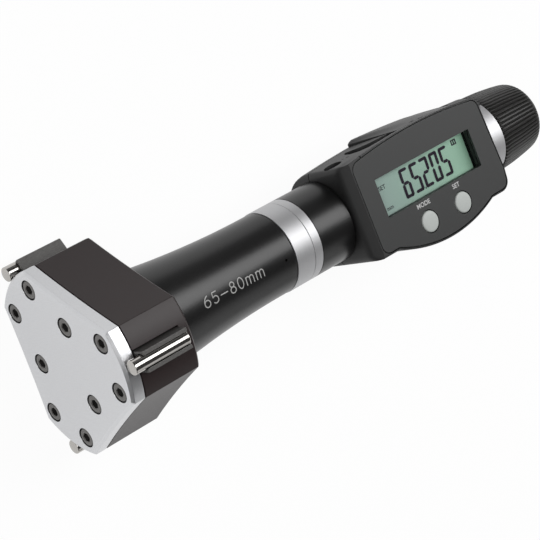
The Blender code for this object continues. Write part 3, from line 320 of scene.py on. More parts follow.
def newFinish(name, dark, light, roughness, look):
    material, tree = newMaterial(name)
    fine = addNode(tree, "ShaderNodeTexNoise", {"Detail": 3.0, "Roughness": 0.6})
    if look.get("turned"):
        fine.noise_dimensions = "1D"
        feed(fine, {"Scale": look["turned"] / mm, "W": axisCoordinates(tree)})
    else:
        stretch = addNode(tree, "ShaderNodeMapping", {
            "Vector": objectPlace(tree), "Scale": [count / mm for count in look["grain"]],
            "Rotation": [radians(angle) for angle in look.get("turn", (0, 0, 0))]})
        feed(fine, {"Scale": 1.0, "Vector": stretch.outputs["Vector"]})
    broad = addNode(tree, "ShaderNodeTexNoise", {"Scale": 0.12 / mm, "Detail": 2.0})
    blend = addNode(tree, "ShaderNodeMix", {
        "Factor": 0.4, "A": fine.outputs["Fac"], "B": broad.outputs["Fac"]}, data_type="FLOAT")
    cloud = blend.outputs["Result"]
    polish = addNode(tree, "ShaderNodeMapRange", {
        "Value": cloud, "From Min": 0.3, "From Max": 0.7,
        "To Min": roughness[0], "To Max": roughness[1]})
    bump = addNode(tree, "ShaderNodeBump", {
        "Strength": look.get("bump", 0.1), "Distance": look.get("bumpDepth", 0.02) * mm,
        "Height": fine.outputs["Fac"]})
    feed(tree.nodes["Principled BSDF"], {
        "Metallic": look.get("metallic", 0.0), "Specular IOR Level": look.get("specular", 0.5),
        "Coat Weight": look.get("coat", 0.0), "Coat Roughness": 0.1,
        "Base Color": rampNode(tree, cloud, dark, light, (0.3, 0.7)),
        "Roughness": polish.outputs["Result"], "Normal": bump.outputs["Normal"]})
    return material


# Dark and light colour, the roughness between them, then what else there is; grain counts marks
# per mm along X, Y and Z, and turned counts them along a lathe's cut
looks = {
    "lcdGround": ((0.39, 0.54, 0.445), (0.41, 0.56, 0.46), (0.35, 0.45), {"grain": (4, 4, 4), "bump": 0.02}),
    "windowPane": ((0.02, 0.03, 0.025), (0.03, 0.04, 0.035), (0.06, 0.1),
        {"grain": (0.5, 0.5, 0.5), "bump": 0.01}),
    "plateSteel": ((0.63, 0.635, 0.65), (0.72, 0.725, 0.74), (0.30, 0.42),
        {"metallic": 1.0, "grain": (1.5, 9.0, 0.35), "turn": (20, 0, 0), "bump": 0.12}),
    "screwSteel": ((0.11, 0.105, 0.10), (0.20, 0.195, 0.19), (0.30, 0.45),
        {"metallic": 0.9, "grain": (4, 4, 4), "bump": 0.15}),
    "headCoating": ((0.0135, 0.0075, 0.0075), (0.0215, 0.0125, 0.0125), (0.36, 0.46),
        {"specular": 0.38, "grain": (0.8, 5.0, 5.0), "bump": 0.1}),
    "anvilSteel": ((0.11, 0.107, 0.104), (0.21, 0.206, 0.20), (0.42, 0.55),
        {"metallic": 1.0, "grain": (1.2, 6.0, 6.0), "bump": 0.2}),
    "pinCarbide": ((0.42, 0.405, 0.385), (0.55, 0.53, 0.505), (0.08, 0.16),
        {"metallic": 1.0, "grain": (1.0, 3.0, 3.0), "bump": 0.05}),
    "groundSteel": ((0.45, 0.45, 0.44), (0.58, 0.58, 0.57), (0.2, 0.3),
        {"metallic": 1.0, "turned": 6.0, "bump": 0.1}),
    "blackAnodised": ((0.0055, 0.0055, 0.0057), (0.0085, 0.0083, 0.0083), (0.26, 0.34),
        {"specular": 0.44, "grain": (9, 9, 9), "bump": 0.2, "bumpDepth": 0.01}),
    "turnedAluminium": ((0.47, 0.47, 0.48), (0.60, 0.60, 0.61), (0.46, 0.58),
        {"metallic": 1.0, "turned": 5.0, "bump": 0.15}),
    "housingPlastic": ((0.008, 0.008, 0.0082), (0.013, 0.013, 0.0133), (0.42, 0.55),
        {"specular": 0.45, "grain": (5, 5, 5), "bump": 0.35, "bumpDepth": 0.03}),
    "fasciaFilm": ((0.018, 0.0188, 0.0186), (0.024, 0.025, 0.0248), (0.45, 0.55),
        {"specular": 0.45, "grain": (7, 7, 7), "bump": 0.15, "bumpDepth": 0.01}),
    "coverPlastic": ((0.012, 0.012, 0.0123), (0.018, 0.018, 0.0184), (0.40, 0.52),
        {"specular": 0.45, "grain": (5, 5, 5), "bump": 0.35, "bumpDepth": 0.03}),
    "buttonGrey": ((0.43, 0.455, 0.44), (0.49, 0.515, 0.495), (0.42, 0.5), {"grain": (4, 4, 4), "bump": 0.1}),
    "lcdInk": ((0.016, 0.006, 0.024), (0.030, 0.010, 0.032), (0.5, 0.6),
        {"specular": 0.2, "grain": (1.2, 1.2, 1.2), "bump": 0.02}),
    "labelInk": ((0.5, 0.5, 0.5), (0.62, 0.62, 0.62), (0.5, 0.6), {"grain": (6, 6, 6), "bump": 0.05}),
    "engravedFill": ((0.34, 0.34, 0.335), (0.46, 0.46, 0.45), (0.55, 0.65),
        {"grain": (8, 8, 8), "bump": 0.3}),
    "thimbleBlack": ((0.007, 0.007, 0.0065), (0.013, 0.0126, 0.0115), (0.34, 0.46),
        {"specular": 0.34, "grain": (3, 3, 3), "bump": 0.2}),
    "endCapGrey": ((0.10, 0.088, 0.08), (0.16, 0.145, 0.135), (0.32, 0.42),
        {"metallic": 0.6, "turned": 5.0, "bump": 0.15}),
    "nutBronze": ((0.42, 0.27, 0.11), (0.58, 0.40, 0.19), (0.28, 0.4),
        {"metallic": 1.0, "turned": 5.0, "bump": 0.15}),
    "boardGreen": ((0.012, 0.09, 0.035), (0.03, 0.16, 0.07), (0.35, 0.5),
        {"grain": (2.5, 2.5, 2.5), "bump": 0.2, "coat": 0.3}),
    "stator": ((0.02, 0.1, 0.05), (0.05, 0.17, 0.09), (0.35, 0.5), {"grain": (3, 3, 3), "bump": 0.2}),
    "rotorCopper": ((0.42, 0.22, 0.12), (0.58, 0.34, 0.2), (0.28, 0.4),
        {"metallic": 1.0, "grain": (3, 3, 3), "bump": 0.1}),
    "domeSteel": ((0.5, 0.5, 0.48), (0.64, 0.64, 0.62), (0.2, 0.32),
        {"metallic": 1.0, "grain": (3, 3, 3), "bump": 0.08}),
}
finishes = {name: newFinish(name, *look) for name, look in looks.items()}


# Painted light on the display: colour factors at its front and rear ends, which lift the recess's shade
# towards the rear
lcdPaintedLight = {"front": 108.0, "rear": 151.0, "frontLift": (1.18, 1.14, 1.28),
           "rearLift": (1.25, 1.55, 1.38)}


def paintDisplayLight():
    # Reflective display: a green ground with a faint grain, multiplied by a colour ramp along X. The ramp is
    # partly painted light: it lightens the ground towards the rear, where the recess shades it, and also
    # turns it greener there
    tree = finishes["lcdGround"].node_tree
    shader = tree.nodes["Principled BSDF"]
    along = addNode(tree, "ShaderNodeMapRange", {
        "Value": splitPlace(tree)["X"], "From Min": lcdPaintedLight["front"] * mm,
        "From Max": lcdPaintedLight["rear"] * mm})
    paintedLift = rampNode(tree, along.outputs["Result"], lcdPaintedLight["frontLift"], lcdPaintedLight["rearLift"])
    shade = addNode(tree, "ShaderNodeMix", {
        "Factor": 1.0, "A": shader.inputs["Base Color"].links[0].from_socket, "B": paintedLift},
        data_type="RGBA", blend_type="MULTIPLY")
    feed(shader, {"Base Color": shade.outputs["Result"]})


paintDisplayLight()
feed(finishes["windowPane"].node_tree.nodes["Principled BSDF"], {"Alpha": 0.14})


print("finishes ready")


head = {
    "anvilAngles": (-30, 90, 210), "cornerRadius": 28.0, "cornerHalfAngle": 21.6, "flatHollow": 0.45,
    "plateThickness": 4.2, "plateChamfer": 0.8, "front": 4.5, "rear": 23.64, "rearChamfer": 0.8,
    "slotRear": 20.04, "slotHalf": 3.25, "boreRadius": 11.1, "cavityRadius": 8.0, "guideStart": 11.0025,
    "spigotRadius": 13.4, "spigotRear": 30.04, "edge": 0.12,
}
screw = {
    "outerRadius": 22.65, "outerAngle": 18.1, "innerRadius": 13.08, "shank": 1.5, "headRadius": 2.65,
    "headHeight": 3.0, "recess": 0.15, "length": 6.6, "socket": 1.44, "socketDepth": 1.7, "clearance": 0.3,
    "turns": (12, 47, 31, 5, 55, 22, 38, 9, 50),
}


def headOutline(cornerSteps=18, flatSteps=26):
    points = []
    half = head["cornerHalfAngle"]
    radius = head["cornerRadius"]
    for angle in head["anvilAngles"]:
        turns = [radians(angle - half + 2 * half * i / cornerSteps) for i in range(cornerSteps + 1)]
        corner = [Vector(polar(radius, turn)) for turn in turns]
        nextStart = Vector(polar(radius, radians(angle + 120 - half)))
        points += corner + arcBetween(corner[-1], nextStart, head["flatHollow"], flatSteps)
    return points


def alongTool(bm):
    # Turns a solid drawn on the YZ outline, with its height as Z, so that its height runs along X
    return moved(bm, Matrix(((0, 0, 1, 0), (1, 0, 0, 0), (0, 1, 0, 0), (0, 0, 0, 1))))


def screwPlaces():
    places = []
    for angle in head["anvilAngles"]:
        places += [(screw["outerRadius"], angle - screw["outerAngle"]),
                   (screw["outerRadius"], angle + screw["outerAngle"]), (screw["innerRadius"], angle + 60)]
    return [Vector((0, *polar(radius, radians(angle)))) for radius, angle in places]


def makeFrontPlate():
    outline = headOutline()
    chamfer = head["plateChamfer"]
    bm = alongTool(slab(outline, ((0, chamfer), (chamfer, 0), (head["plateThickness"], 0))))
    plate = makePiece("frontPlate", bm, "plateSteel", ["front_plate"])
    seat = screw["recess"] + screw["headHeight"] + screw["clearance"]
    wide = screw["headRadius"] + screw["clearance"]
    narrow = screw["shank"] + screw["clearance"]
    for place in screwPlaces():
        hole = turned([(6.0, 0), (6.0, narrow), (seat, narrow), (seat, wide), (-1.0, wide), (-1.0, 0)], 48)
        carve(plate, moved(hole, Matrix.Translation(place)))
    smoothOut(plate, head["edge"], crease=25)


def makeScrews():
    top, wide, shank = screw["recess"], screw["headRadius"], screw["shank"]
    rear = top + screw["headHeight"]
    tip = rear + screw["length"]
    profile = eased([(tip, 0), (tip, shank, 0.25), (rear, shank), (rear, wide, 0.1), (top, wide, 0.32),
                     (top, 1.62, 0.08), (top + 0.14, 1.46, 0.06), (top + 0.14, 0)])
    for i, (place, turn) in enumerate(zip(screwPlaces(), screw["turns"]), start=1):
        spin = Matrix.Translation(place) @ rotated(turn, "X")
        piece = makePiece(f"plateScrew{i}", moved(turned(profile, 48), spin), "screwSteel",
                          [f"plate_screw_{i}"])
        socket = turned([(top + screw["socketDepth"] + 0.4, 0), (top + screw["socketDepth"], screw["socket"]),
                         (-1.0, screw["socket"]), (-1.0, 0)], 6)
        carve(piece, moved(socket, spin))
        smoothOut(piece, crease=32)


def makeHead():
    chamfer = head["rearChamfer"]
    levels = ((head["front"], 0), (head["rear"] - chamfer, 0), (head["rear"], chamfer))
    body = makePiece("headBody", alongTool(slab(headOutline(), levels)), "headCoating", ["head_body"])
    spigot = eased([(21.8, 6.0), (21.8, head["spigotRadius"]),
                    (head["spigotRear"], head["spigotRadius"], 0.3),
                    (head["spigotRear"], 6.0)])
    carve(body, turned(spigot, 96), "UNION")
    bore = [(32.0, 0), (32.0, head["boreRadius"]), (head["guideStart"], head["boreRadius"]),
            (head["guideStart"], head["cavityRadius"]), (2.5, head["cavityRadius"]), (2.5, 0)]
    carve(body, turned(bore, 96))
    for angle in head["anvilAngles"]:
        slot = boxAt((2.5, 0, -head["slotHalf"]), (head["slotRear"], 31.0, head["slotHalf"]))
        carve(body, moved(slot, rotated(angle, "X")))
    for place in screwPlaces():
        carve(body, moved(plug(2.5, 10.05, 1.8, 24), Matrix.Translation(place)))
    smoothOut(body, head["edge"], crease=25)


anvil = {
    "front": 4.5, "rear": 19.74, "inner": 2.0, "rampStart": 12.5757, "shoulder": 32.0, "halfWidth": 2.95,
    "chamfer": 0.2, "pinCentre": 30.4525, "pinRadius": 2.15, "pinFront": 0.9, "pinRear": 19.54, "edge": 0.1,
}


def makeAnvils():
    rampTop = anvil["inner"] + anvil["rear"] - anvil["rampStart"]
    front, rear, inner, shoulder, chamfer = [anvil[name] for name in (
        "front", "rear", "inner", "shoulder", "chamfer")]
    side = [(front, inner), (anvil["rampStart"], inner), (rear, rampTop), (rear, shoulder - chamfer),
            (rear - chamfer, shoulder), (front + chamfer, shoulder), (front, shoulder - chamfer)]
    pinProfile = eased([(anvil["pinRear"], 0), (anvil["pinRear"], anvil["pinRadius"], 0.3),
                        (anvil["pinFront"], anvil["pinRadius"], 0.3), (anvil["pinFront"], 0)])
    seat = Matrix.Translation((0, anvil["pinCentre"], 0))
    for i, angle in enumerate(head["anvilAngles"], start=1):
        spin = rotated(angle, "X")
        half = anvil["halfWidth"]
        bm = moved(slab(side, ((-half, 0), (half, 0))), spin)
        jaw = makePiece(f"anvil{i}", bm, "anvilSteel", [f"anvil_{i}"], f"anvil_{i}")
        carve(jaw, moved(plug(0.0, 25.0, 2.35), spin @ seat))  # groove that holds the pin
        smoothOut(jaw, anvil["edge"], crease=28)
        pin = makePiece(f"contactPin{i}", moved(turned(pinProfile, 64), spin @ seat), "pinCarbide",
                        [f"contact_pin_{i}"], f"anvil_{i}")
        smoothOut(pin, crease=40)


makeFrontPlate()
makeScrews()
makeHead()
makeAnvils()
print("head ready")


barrel = {
    "front": 23.94, "rear": 75.0, "flareEnd": 72.0, "frontRadius": 16.2, "rearRadius": 12.72,
    "spigotSeat": 30.34, "spigotBore": 13.7, "bore": 11.1, "seat": 70.0, "seatBore": 11.3, "stations": 44,
}
rings = {
    "radius": 12.9, "bore": 11.3, "edge": 0.16,
    "places": {"front_ring": (75.14, 82.06), "rear_ring": (82.16, 85.3), "collar": (85.4, 98.7)},
}
marks = {"text": "65-80mm", "height": 3.2, "wide": 1.09, "start": 39.1, "angle": 87.6, "lean": 0.08,
         "spacing": 0.34,
         "stroke": 0.31, "dot": (71.4, 93.0), "dotRadius": 0.42}


def barrelRadius(x):
    share = min((x - barrel["front"]) / (barrel["flareEnd"] - barrel["front"]), 1.0)
    return barrel["rearRadius"] + (barrel["frontRadius"] - barrel["rearRadius"]) * (1 - share) ** 2


def makeBarrel():
    flare = barrel["flareEnd"] - barrel["front"] - 0.4
    stations = [barrel["flareEnd"] - flare * i / barrel["stations"] for i in range(barrel["stations"] + 1)]
    profile = [(barrel["rear"], barrel["seatBore"], 0.15), (barrel["rear"], barrel["rearRadius"], 0.3)]
    profile += [(x, barrelRadius(x)) for x in stations]
    front, spigotSeat, spigotBore, bore = [barrel[name] for name in (
        "front", "spigotSeat", "spigotBore", "bore")]
    profile += [(front, barrel["frontRadius"] - 0.05, 0.25), (front, spigotBore), (spigotSeat, spigotBore),
                (spigotSeat, bore), (barrel["seat"], bore), (barrel["seat"], barrel["seatBore"])]
    piece = makePiece("barrelTube", turned(eased(profile), 144), "blackAnodised", ["barrel"])
    x, angle = marks["dot"]
    deep = barrelRadius(x) - 1.2
    dot = turned([(deep, 0), (deep + 0.2, marks["dotRadius"]), (20.0, marks["dotRadius"]), (20.0, 0)], 32)
    place = Matrix.Translation((x, 0, 0)) @ rotated(angle, "X") @ rotated(90, "Z")
    carve(piece, moved(dot, place))
    smoothOut(piece, crease=40)


def makeRings():
    for name, (front, rear) in rings["places"].items():
        profile = eased([(rear, rings["bore"], 0.1), (rear, rings["radius"], rings["edge"]),
                         (front, rings["radius"], rings["edge"]), (front, rings["bore"], 0.1)])
        dark = name == "collar"
        piece = makePiece(name.replace("_r", "R") + "Band", turned(profile, 128),
                          "blackAnodised" if dark else "turnedAluminium", [name])
        smoothOut(piece, crease=40)


def ovalPart(u, v, wide, tall, start, end, steps=18):
    turns = [radians(start + (end - start) * i / steps) for i in range(steps + 1)]
    return [(u + wide * cos(turn), v + tall * sin(turn)) for turn in turns]


# Single-line letters: width and strokes, in units of the letter height
arch = ovalPart(0.2, 0.5, 0.2, 0.21, 180, 0, 10)
markLetters = {
    "6": (0.6,
          [ovalPart(0.6, 0.31, 0.6, 0.69, 104, 180, 10) + ovalPart(0.3, 0.31, 0.3, 0.31, 180, 540, 28)[1:]]),
    "5": (0.57, [[(0.52, 1.0), (0.3, 1.0), (0.09, 1.0), (0.06, 0.78), (0.04, 0.56)]
                 + ovalPart(0.27, 0.32, 0.3, 0.32, 133, -140, 22)[1:]]),
    "-": (0.75, [[(0.0, 0.42), (0.75, 0.42)]]),
    "8": (0.56,
          [ovalPart(0.28, 0.77, 0.22, 0.23, -90, 270, 24), ovalPart(0.28, 0.27, 0.28, 0.27, 90, 450, 26)]),
    "0": (0.56, [ovalPart(0.28, 0.5, 0.28, 0.5, 0, 360, 30)]),
    "m": (0.8, [[(0.0, 0.7), (0.0, 0.44), (0.0, 0.0)], arch + [(0.4, 0.22), (0.4, 0.0)],
                [(u + 0.4, v) for u, v in arch] + [(0.8, 0.22), (0.8, 0.0)]]),
}


def addStroke(bm, points, width):
    # A flat ribbon with round ends along a line of points
    points = [Vector(point) for point in points]
    sides = []
    for i, here in enumerate(points):
        before = here - points[i - 1] if i else points[1] - here
        after = points[i + 1] - here if i + 1 < len(points) else before
        along = before.normalized() + after.normalized()
        across = Vector((-along.y, along.x)).normalized() * width / 2
        sides.append((here + across, here - across))
    rows = [[bm.verts.new((*side, 0)) for side in pair] for pair in sides]
    for first, second in zip(rows, rows[1:]):
        bm.faces.new((first[0], second[0], second[1], first[1]))
    for row, end, other in ((rows[0], points[0], points[1]), (rows[-1], points[-1], points[-2])):
        out = (end - other).normalized() * width / 2
        left = row[0].co.xy - end
        tips = [bm.verts.new((*(end + left * cos(turn) + out * sin(turn)), 0))
                for turn in (pi / 5, 2 * pi / 5, 3 * pi / 5, 4 * pi / 5)]
        bm.faces.new([row[0], *tips, row[1]])


def makeMarks():
    bm = bmesh.new()
    start = marks["start"]
    tall = marks["height"]
    along = tall * marks["wide"]
    for letter in marks["text"]:
        width, strokes = markLetters[letter]
        for stroke in strokes:
            addStroke(bm, [(start + u * along, (v - 0.5) * tall) for u, v in stroke], marks["stroke"])
        start += (width + marks["spacing"]) * along
    for vert in bm.verts:
        reach = barrelRadius(vert.co.x) + 0.025
        turn = radians(marks["angle"] + marks["lean"] * (vert.co.x - marks["start"])) - vert.co.y / reach
        vert.co = (vert.co.x, *polar(reach, turn))
    bmesh.ops.recalc_face_normals(bm, faces=bm.faces)
    makePiece("rangeMark", bm, "engravedFill")


makeBarrel()
makeRings()
makeMarks()
print("barrel ready")


readout = {
    "front": 98.8, "rear": 159.7, "back": -15.2, "top": 16.75, "rim": 0.8, "rimEdge": 0.5, "wall": 1.5,
    "cavityTop": 14.3, "fasciaSeat": 15.55, "fasciaBase": 15.85, "faceTop": 14.7, "faceBottom": 14.3,
    "heel": 14.9, "topBulge": 1.75, "bottomBulge": 4.4, "parting": 0.15, "soften": 1.2, "draft": 2.0,
    "lip": {"front": 158.9, "rear": 167.0, "bore": 13.4, "frontRadius": 14.15, "rearRadius": 13.65,
            "start": 181.0, "end": 400.0},
    "window": (108.9, -4.9, 150.6, 7.25), "cellTop": 13.4, "cellRear": 150.3,
    "bores": ((96.8, 103.2, 11.3), (150.6, 161.7, 13.3)), "faceGap": 0.22,
    "buttons": {"mode": (123.2, -12.1), "set": (138.2, -12.1)}, "buttonRadius": 3.3,
    "labels": {"MODE": (123.1, -6.5), "SET": (137.8, -6.45)}, "labelHeight": 1.45,
}
wall = {"middle": 130.65, "half": 28.25, "base": 15.5, "bow": 1.05, "taper": 0.11, "tailStart": 142.0,
        "round": 15.2, "flangeStart": 13.6, "flangeEnd": 15.2, "bezel": 15.25}
faceCorners = ((102.4, 14.7, 3.2, 0), (102.4, -14.3, 2.6, 0), (108.5, -14.3, 4.0, -4.4),
               (150.5, -14.9, 6.0, 0), (157.9, -14.9, 3.0, 0), (158.9, -9.3, 3.0, 0),
               (157.6, 14.7, 2.6, -1.75))


def spanAt(outline, height):
    # Lowest and highest first coordinate of a flat outline where its second coordinate is height
    found = []
    for i, (u, v) in enumerate(outline):
        before = outline[i - 1]
        if (before[1] - height) * (v - height) <= 0 and before[1] != v:
            found.append(before[0] + (u - before[0]) * (height - before[1]) / (v - before[1]))
    return min(found), max(found)


def softMin(a, b, reach):
    share = max(reach - abs(a - b), 0) / reach
    return min(a, b) - share * share * reach / 4


def softClamp(value, low, high, reach):
    return -softMin(-softMin(value, high, reach), -low, reach)


def housingForm(inset, levels):
    # The moulded form as level outlines: the plan, held inside the cross-section and the side view
    rim = readout["rim"]
    plan = [(readout["front"], readout["faceTop"] + rim, 2.2, 0),
            (readout["front"], -readout["faceBottom"] - rim, 2.4, 0)]
    grown = insetCorners(faceCorners, -rim)[2:]
    plan += [(x, y, max(radius, 3.3), bulge) for x, y, radius, bulge in grown]
    outline = roundedOutline(insetCorners(plan, inset), steps=7, bulgeSteps=40)
    low = readout["back"]
    wide = readout["heel"] + readout["bottomBulge"] + 2 * rim
    tall = readout["faceTop"] + readout["topBulge"] + 2 * rim
    draft = readout["draft"]
    section = [(-wide, 18.75, 0.3), (-wide, readout["top"] - 1.0, 0.3), (draft - wide, low + 8.4, 6.0),
               (9.4 - wide, low, 8.0), (tall - 9.0, low, 7.0), (tall, low + 4.3, 5.0), (tall, 18.75, 0.3)]
    front = readout["front"] + (0.9 if inset else 0)
    side = [(front, low + 1.5, 2.5), (readout["front"] + 8.0, low, 6.0), (readout["rear"] - 9.0, low, 6.0),
            (readout["rear"], low + 1.5, 3.0), (readout["rear"], 18.75, 0.3), (front + 4.92, 18.75, 0.3),
            (front, 13.35, 3.0)]
    section = [tuple(point) for point in roundedOutline(insetCorners(section, inset))]
    side = [tuple(point) for point in roundedOutline(insetCorners(side, inset))]
    loops = []
    for height, drawIn in levels:
        flat = insetOutline(outline, drawIn) if drawIn else outline
        left, right = spanAt(section, height)
        near, far = spanAt(side, height)
        flange = easeStep(height, wall["flangeStart"], wall["flangeEnd"])
        loop = []
        for point in flat:
            x = softClamp(point[0], near, far, readout["soften"])
            y = softClamp(point[1], left, right, readout["soften"])
            if y > 0:
                bezel = wall["bezel"] + readout["topBulge"] * bowAt(x)
                reach = wallReach(x, height) * (1 - flange) + bezel * flange
                y = softMin(y, max(reach - inset, 0.5), 0.4)
            loop.append((x, y, height))
        loops.append(loop)
    bm = loftOf(loops)
    bmesh.ops.remove_doubles(bm, verts=bm.verts, dist=0.02)
    bmesh.ops.recalc_face_normals(bm, faces=bm.faces)
    return bm


def bowAt(x):
    # 1 in the middle of the side wall and 0 at its ends
    return 1 - ((x - wall["middle"]) / wall["half"]) ** 2


def wallReach(x, z):
    # How far the side wall stands out: bowed, tapering to the rear, rounded behind the parting plane
    tail = max(x - wall["tailStart"], 0.0)
    reach = wall["base"] + wall["bow"] * bowAt(x) - wall["taper"] * tail ** 2 / (tail + 6)
    return reach - wallDrop(z)


def wallDrop(z):
    radius = wall["round"]
    return radius - sqrt(max(radius ** 2 - min(z, 0.0) ** 2, 0.0))


def easeStep(value, low, high):
    share = min(max((value - low) / (high - low), 0.0), 1.0)
    return share * share * (3 - 2 * share)


cover = {"frontFoot": 119.9, "frontSlope": 0.58, "lowSlope": 0.8, "rear": 152.0, "turnDown": -1.6,
         "low": -10.0, "high": 13.0, "step": 1.7, "stepEnd": 146.0, "flush": 0.02, "seat": 0.7,
         "gap": 0.07, "keep": 0.42,
         "dashes": ((134.0, 11.4), (137.2, 12.4))}
port = {"x": 102.6, "z": 8.7, "radius": 2.85, "depth": 1.3}
channel = {
    # x and z of the recess along the side, its lower edge first
    "edge": ((113.2, 3.3), (114.1, 4.4), (115.2, 5.9), (116.6, 7.3), (118.8, 8.7), (121.8, 9.4),
             (125.6, 9.9), (128.6, 11.0), (130.6, 13.4), (127.0, 13.9), (120.0, 13.8), (114.5, 13.3),
             (111.8, 11.5), (110.6, 8.5), (111.0, 5.5), (112.1, 3.7)),
    "depth": 1.3, "fadeStart": 121.0, "fadeEnd": 131.5,
    "nicks": ((106.6, 8.5, 0.5, 0.5), (107.6, 9.4, 1.3, 0.5)),
    "tick": (106.8, 15.0, 0.35),
}


def coverFront(z):
    low = cover["turnDown"]
    return cover["frontFoot"] + cover["frontSlope"] * max(z, low) + cover["lowSlope"] * max(low - z, 0.0)


def coverReach(x, z):
    # The pad rises behind its foot and fades out towards the rear and the rim
    share = max(1 - (x - 120.0) / (cover["stepEnd"] - 120.0), 0.0)
    fade = 1 - easeStep(z, 2.0, cover["high"] + 1.0) * 0.9 - easeStep(-z, 5.0, 9.0) * 0.5
    rise = 0.3 + 0.7 * easeStep(x - coverFront(z), -1.0, 2.0 + 0.7 * max(z + 2.0, 0.0))
    keep = (wallDrop(z) * cover["keep"] * easeStep(-z, 3.0, 8.0) * easeStep(x, 126, 133)
            * easeStep(-x, -149, -142))
    return wallReach(x, z) + cover["flush"] + cover["step"] * share * fade * rise + keep


def coverForm(grow):
    # The pad as level outlines: the outer face forwards, the face on its seat backwards
    loops = []
    low, high = cover["low"] - grow, cover["high"] + grow
    for k in range(31):
        z = low + (high - low) * k / 30
        front, rear = coverFront(z) - grow, cover["rear"] + grow
        stations = [front + (rear - front) * i / 34 for i in range(35)]
        outer = [(x, coverReach(x, z) + (2.5 if grow else 0), z) for x in stations]
        inner = [(x, wallReach(x, z) - cover["seat"] - (0.03 if grow else 0), z) for x in reversed(stations)]
        loops.append(outer + inner)
    return loftOf(loops)


def channelForm():
    # The finger recess along the side, from a round start to a point at the pad's corner
    edge = channel["edge"]
    floor = []
    for x, z in edge:
        depth = channel["depth"] * (1 - easeStep(x, channel["fadeStart"], channel["fadeEnd"]))
        floor.append((x, wallReach(x, z) - depth, z))
    return loftOf([[(x, 20.0, z) for x, z in edge], floor])


def lipForm():
    # Part ring behind the back shell, over the sleeve
    lip = readout["lip"]
    loops = []
    for k in range(61):
        angle = lip["start"] + (lip["end"] - lip["start"]) * k / 60
        turn = radians(angle)
        front = lip["front"] if angle < 359 else readout["rear"] + 0.2
        corners = ((front, lip["bore"]), (front, lip["frontRadius"]), (lip["rear"] - 0.3, lip["rearRadius"]),
                   (lip["rear"], lip["rearRadius"] - 0.15), (lip["rear"], lip["bore"]))
        loops.append([(x, *polar(radius, turn)) for x, radius in corners])
    return loftOf(loops)


def onFace(x, y):
    # Lays a solid drawn along X at a place on the face, with its height along Z
    return Matrix.Translation((x, y, 0)) @ rotated(-90, "Y")


def buttonHoles(radius):
    return [moved(plug(12.3, 18.0, radius), onFace(x, y)) for x, y in readout["buttons"].values()]


def frontCutters():
    # Fascia seat, display, buttons, port, finger recess, nicks and tick, in the readout's frame
    seat = roundedOutline(insetCorners(faceCorners, -readout["faceGap"]))
    x0, y0, x1, y1 = readout["window"]
    x, z = port["x"], port["z"]
    hole = plug(wallReach(x, z) - port["depth"], 20.0, port["radius"], 64)
    sideways = Matrix.Translation((x, 0, z)) @ rotated(90, "Z")
    cutters = [slab(seat, ((readout["fasciaSeat"], 0), (18.8, 0))),
               boxAt((x0, y0, 12.3), (x1, y1, 17.6)), *buttonHoles(3.65), moved(hole, sideways),
               channelForm()]
    for x, z, long, high in channel["nicks"]:
        cutters.append(boxAt((x, wallReach(x, z) - 0.5, z), (x + long, 20.0, z + high)))
    x, y, wide = channel["tick"]
    return cutters + [boxAt((x, y, 16.1), (x + wide, y + 2.0, 18.0))]


def makeHousing():
    low, half, edge, top = [readout[name] for name in ("back", "parting", "rimEdge", "top")]
    upper = [(half, 0)] + [(half + (top - edge - half) * i / 22, 0) for i in range(1, 23)]
    for turn in [radians(22.5 * i) for i in range(1, 5)]:
        upper.append((top - edge + edge * sin(turn), edge * (1 - cos(turn))))
    rises = (0.001, 0.06, 0.16, 0.32, 0.55, 0.85, 1.2, 1.6, 2.1, 2.7, 3.4, 4.2, 5.1, 6.1, 7.2, 8.4,
             9.8, 11.4, 13.2)
    lower = [(low + rise, 0) for rise in rises] + [(-half, 0)]
    thick = readout["wall"]
    cavityRises = (0.01, 0.5, 1.3, 2.4, 4.0, 6.0, 9.0, 14.0, 20.0)
    cavity = [(low + thick + rise, 0) for rise in cavityRises] + [(readout["cavityTop"], 0)]
    for name, node, levels in (("housingFrontShell", "housing_front", upper),
                               ("housingBackShell", "housing_back", lower)):
        shell = makePiece(name, tilted(housingForm(0, levels)), "housingPlastic",
                          [node])
        carve(shell, tilted(housingForm(thick, cavity)))
        for bore in readout["bores"]:
            carve(shell, plug(*bore, 96))
        if node == "housing_back":
            carve(shell, tilted(lipForm()), "UNION")
        carve(shell, tilted(coverForm(cover["gap"])))
        if node == "housing_front":
            for cutter in frontCutters():
                carve(shell, tilted(cutter))
        smoothOut(shell, crease=38)


def makeCover():
    piece = makePiece("batteryDoor", tilted(coverForm(0)), "coverPlastic", ["battery_cover"])
    for x, z in cover["dashes"]:
        y = coverReach(x, z)
        carve(piece, tilted(boxAt((x, y - 0.3, z), (x + 1.5, y + 1.0, z + 0.35))))
    smoothOut(piece, 0.22, crease=40, segments=3)


def rectangle(x0, y0, x1, y1, radius):
    corners = ((x0, y0), (x1, y0), (x1, y1), (x0, y1))
    return roundedOutline([(*corner, radius, 0) for corner in corners], steps=4)


def makeFascia():
    top = readout["top"]
    levels = ((readout["fasciaBase"], 0), (top - 0.2, 0), (top - 0.06, 0.06), (top, 0.2))
    piece = makePiece("fasciaPlate", tilted(slab(roundedOutline(faceCorners), levels)), "fasciaFilm",
                      ["fascia"])
    opening = slab(rectangle(*readout["window"], 0.25), ((13.0, 0), (18.0, 0)))
    for cutter in [opening, *buttonHoles(3.62)]:
        carve(piece, tilted(cutter))
    smoothOut(piece, crease=32)


def makeButtons():
    radius = readout["buttonRadius"]
    profile = eased([(17.16, 0), (17.1, 1.7), (16.98, radius, 0.45), (14.0, radius), (14.0, 4.2),
                     (13.2, 4.2), (13.2, 0)], steps=5)
    for name, (x, y) in readout["buttons"].items():
        bm = tilted(moved(turned(profile, 64), onFace(x, y)))
        piece = makePiece(f"{name}Button", bm, "buttonGrey", [f"{name}_button"],
                          f"{name}_key")
        smoothOut(piece, crease=40)


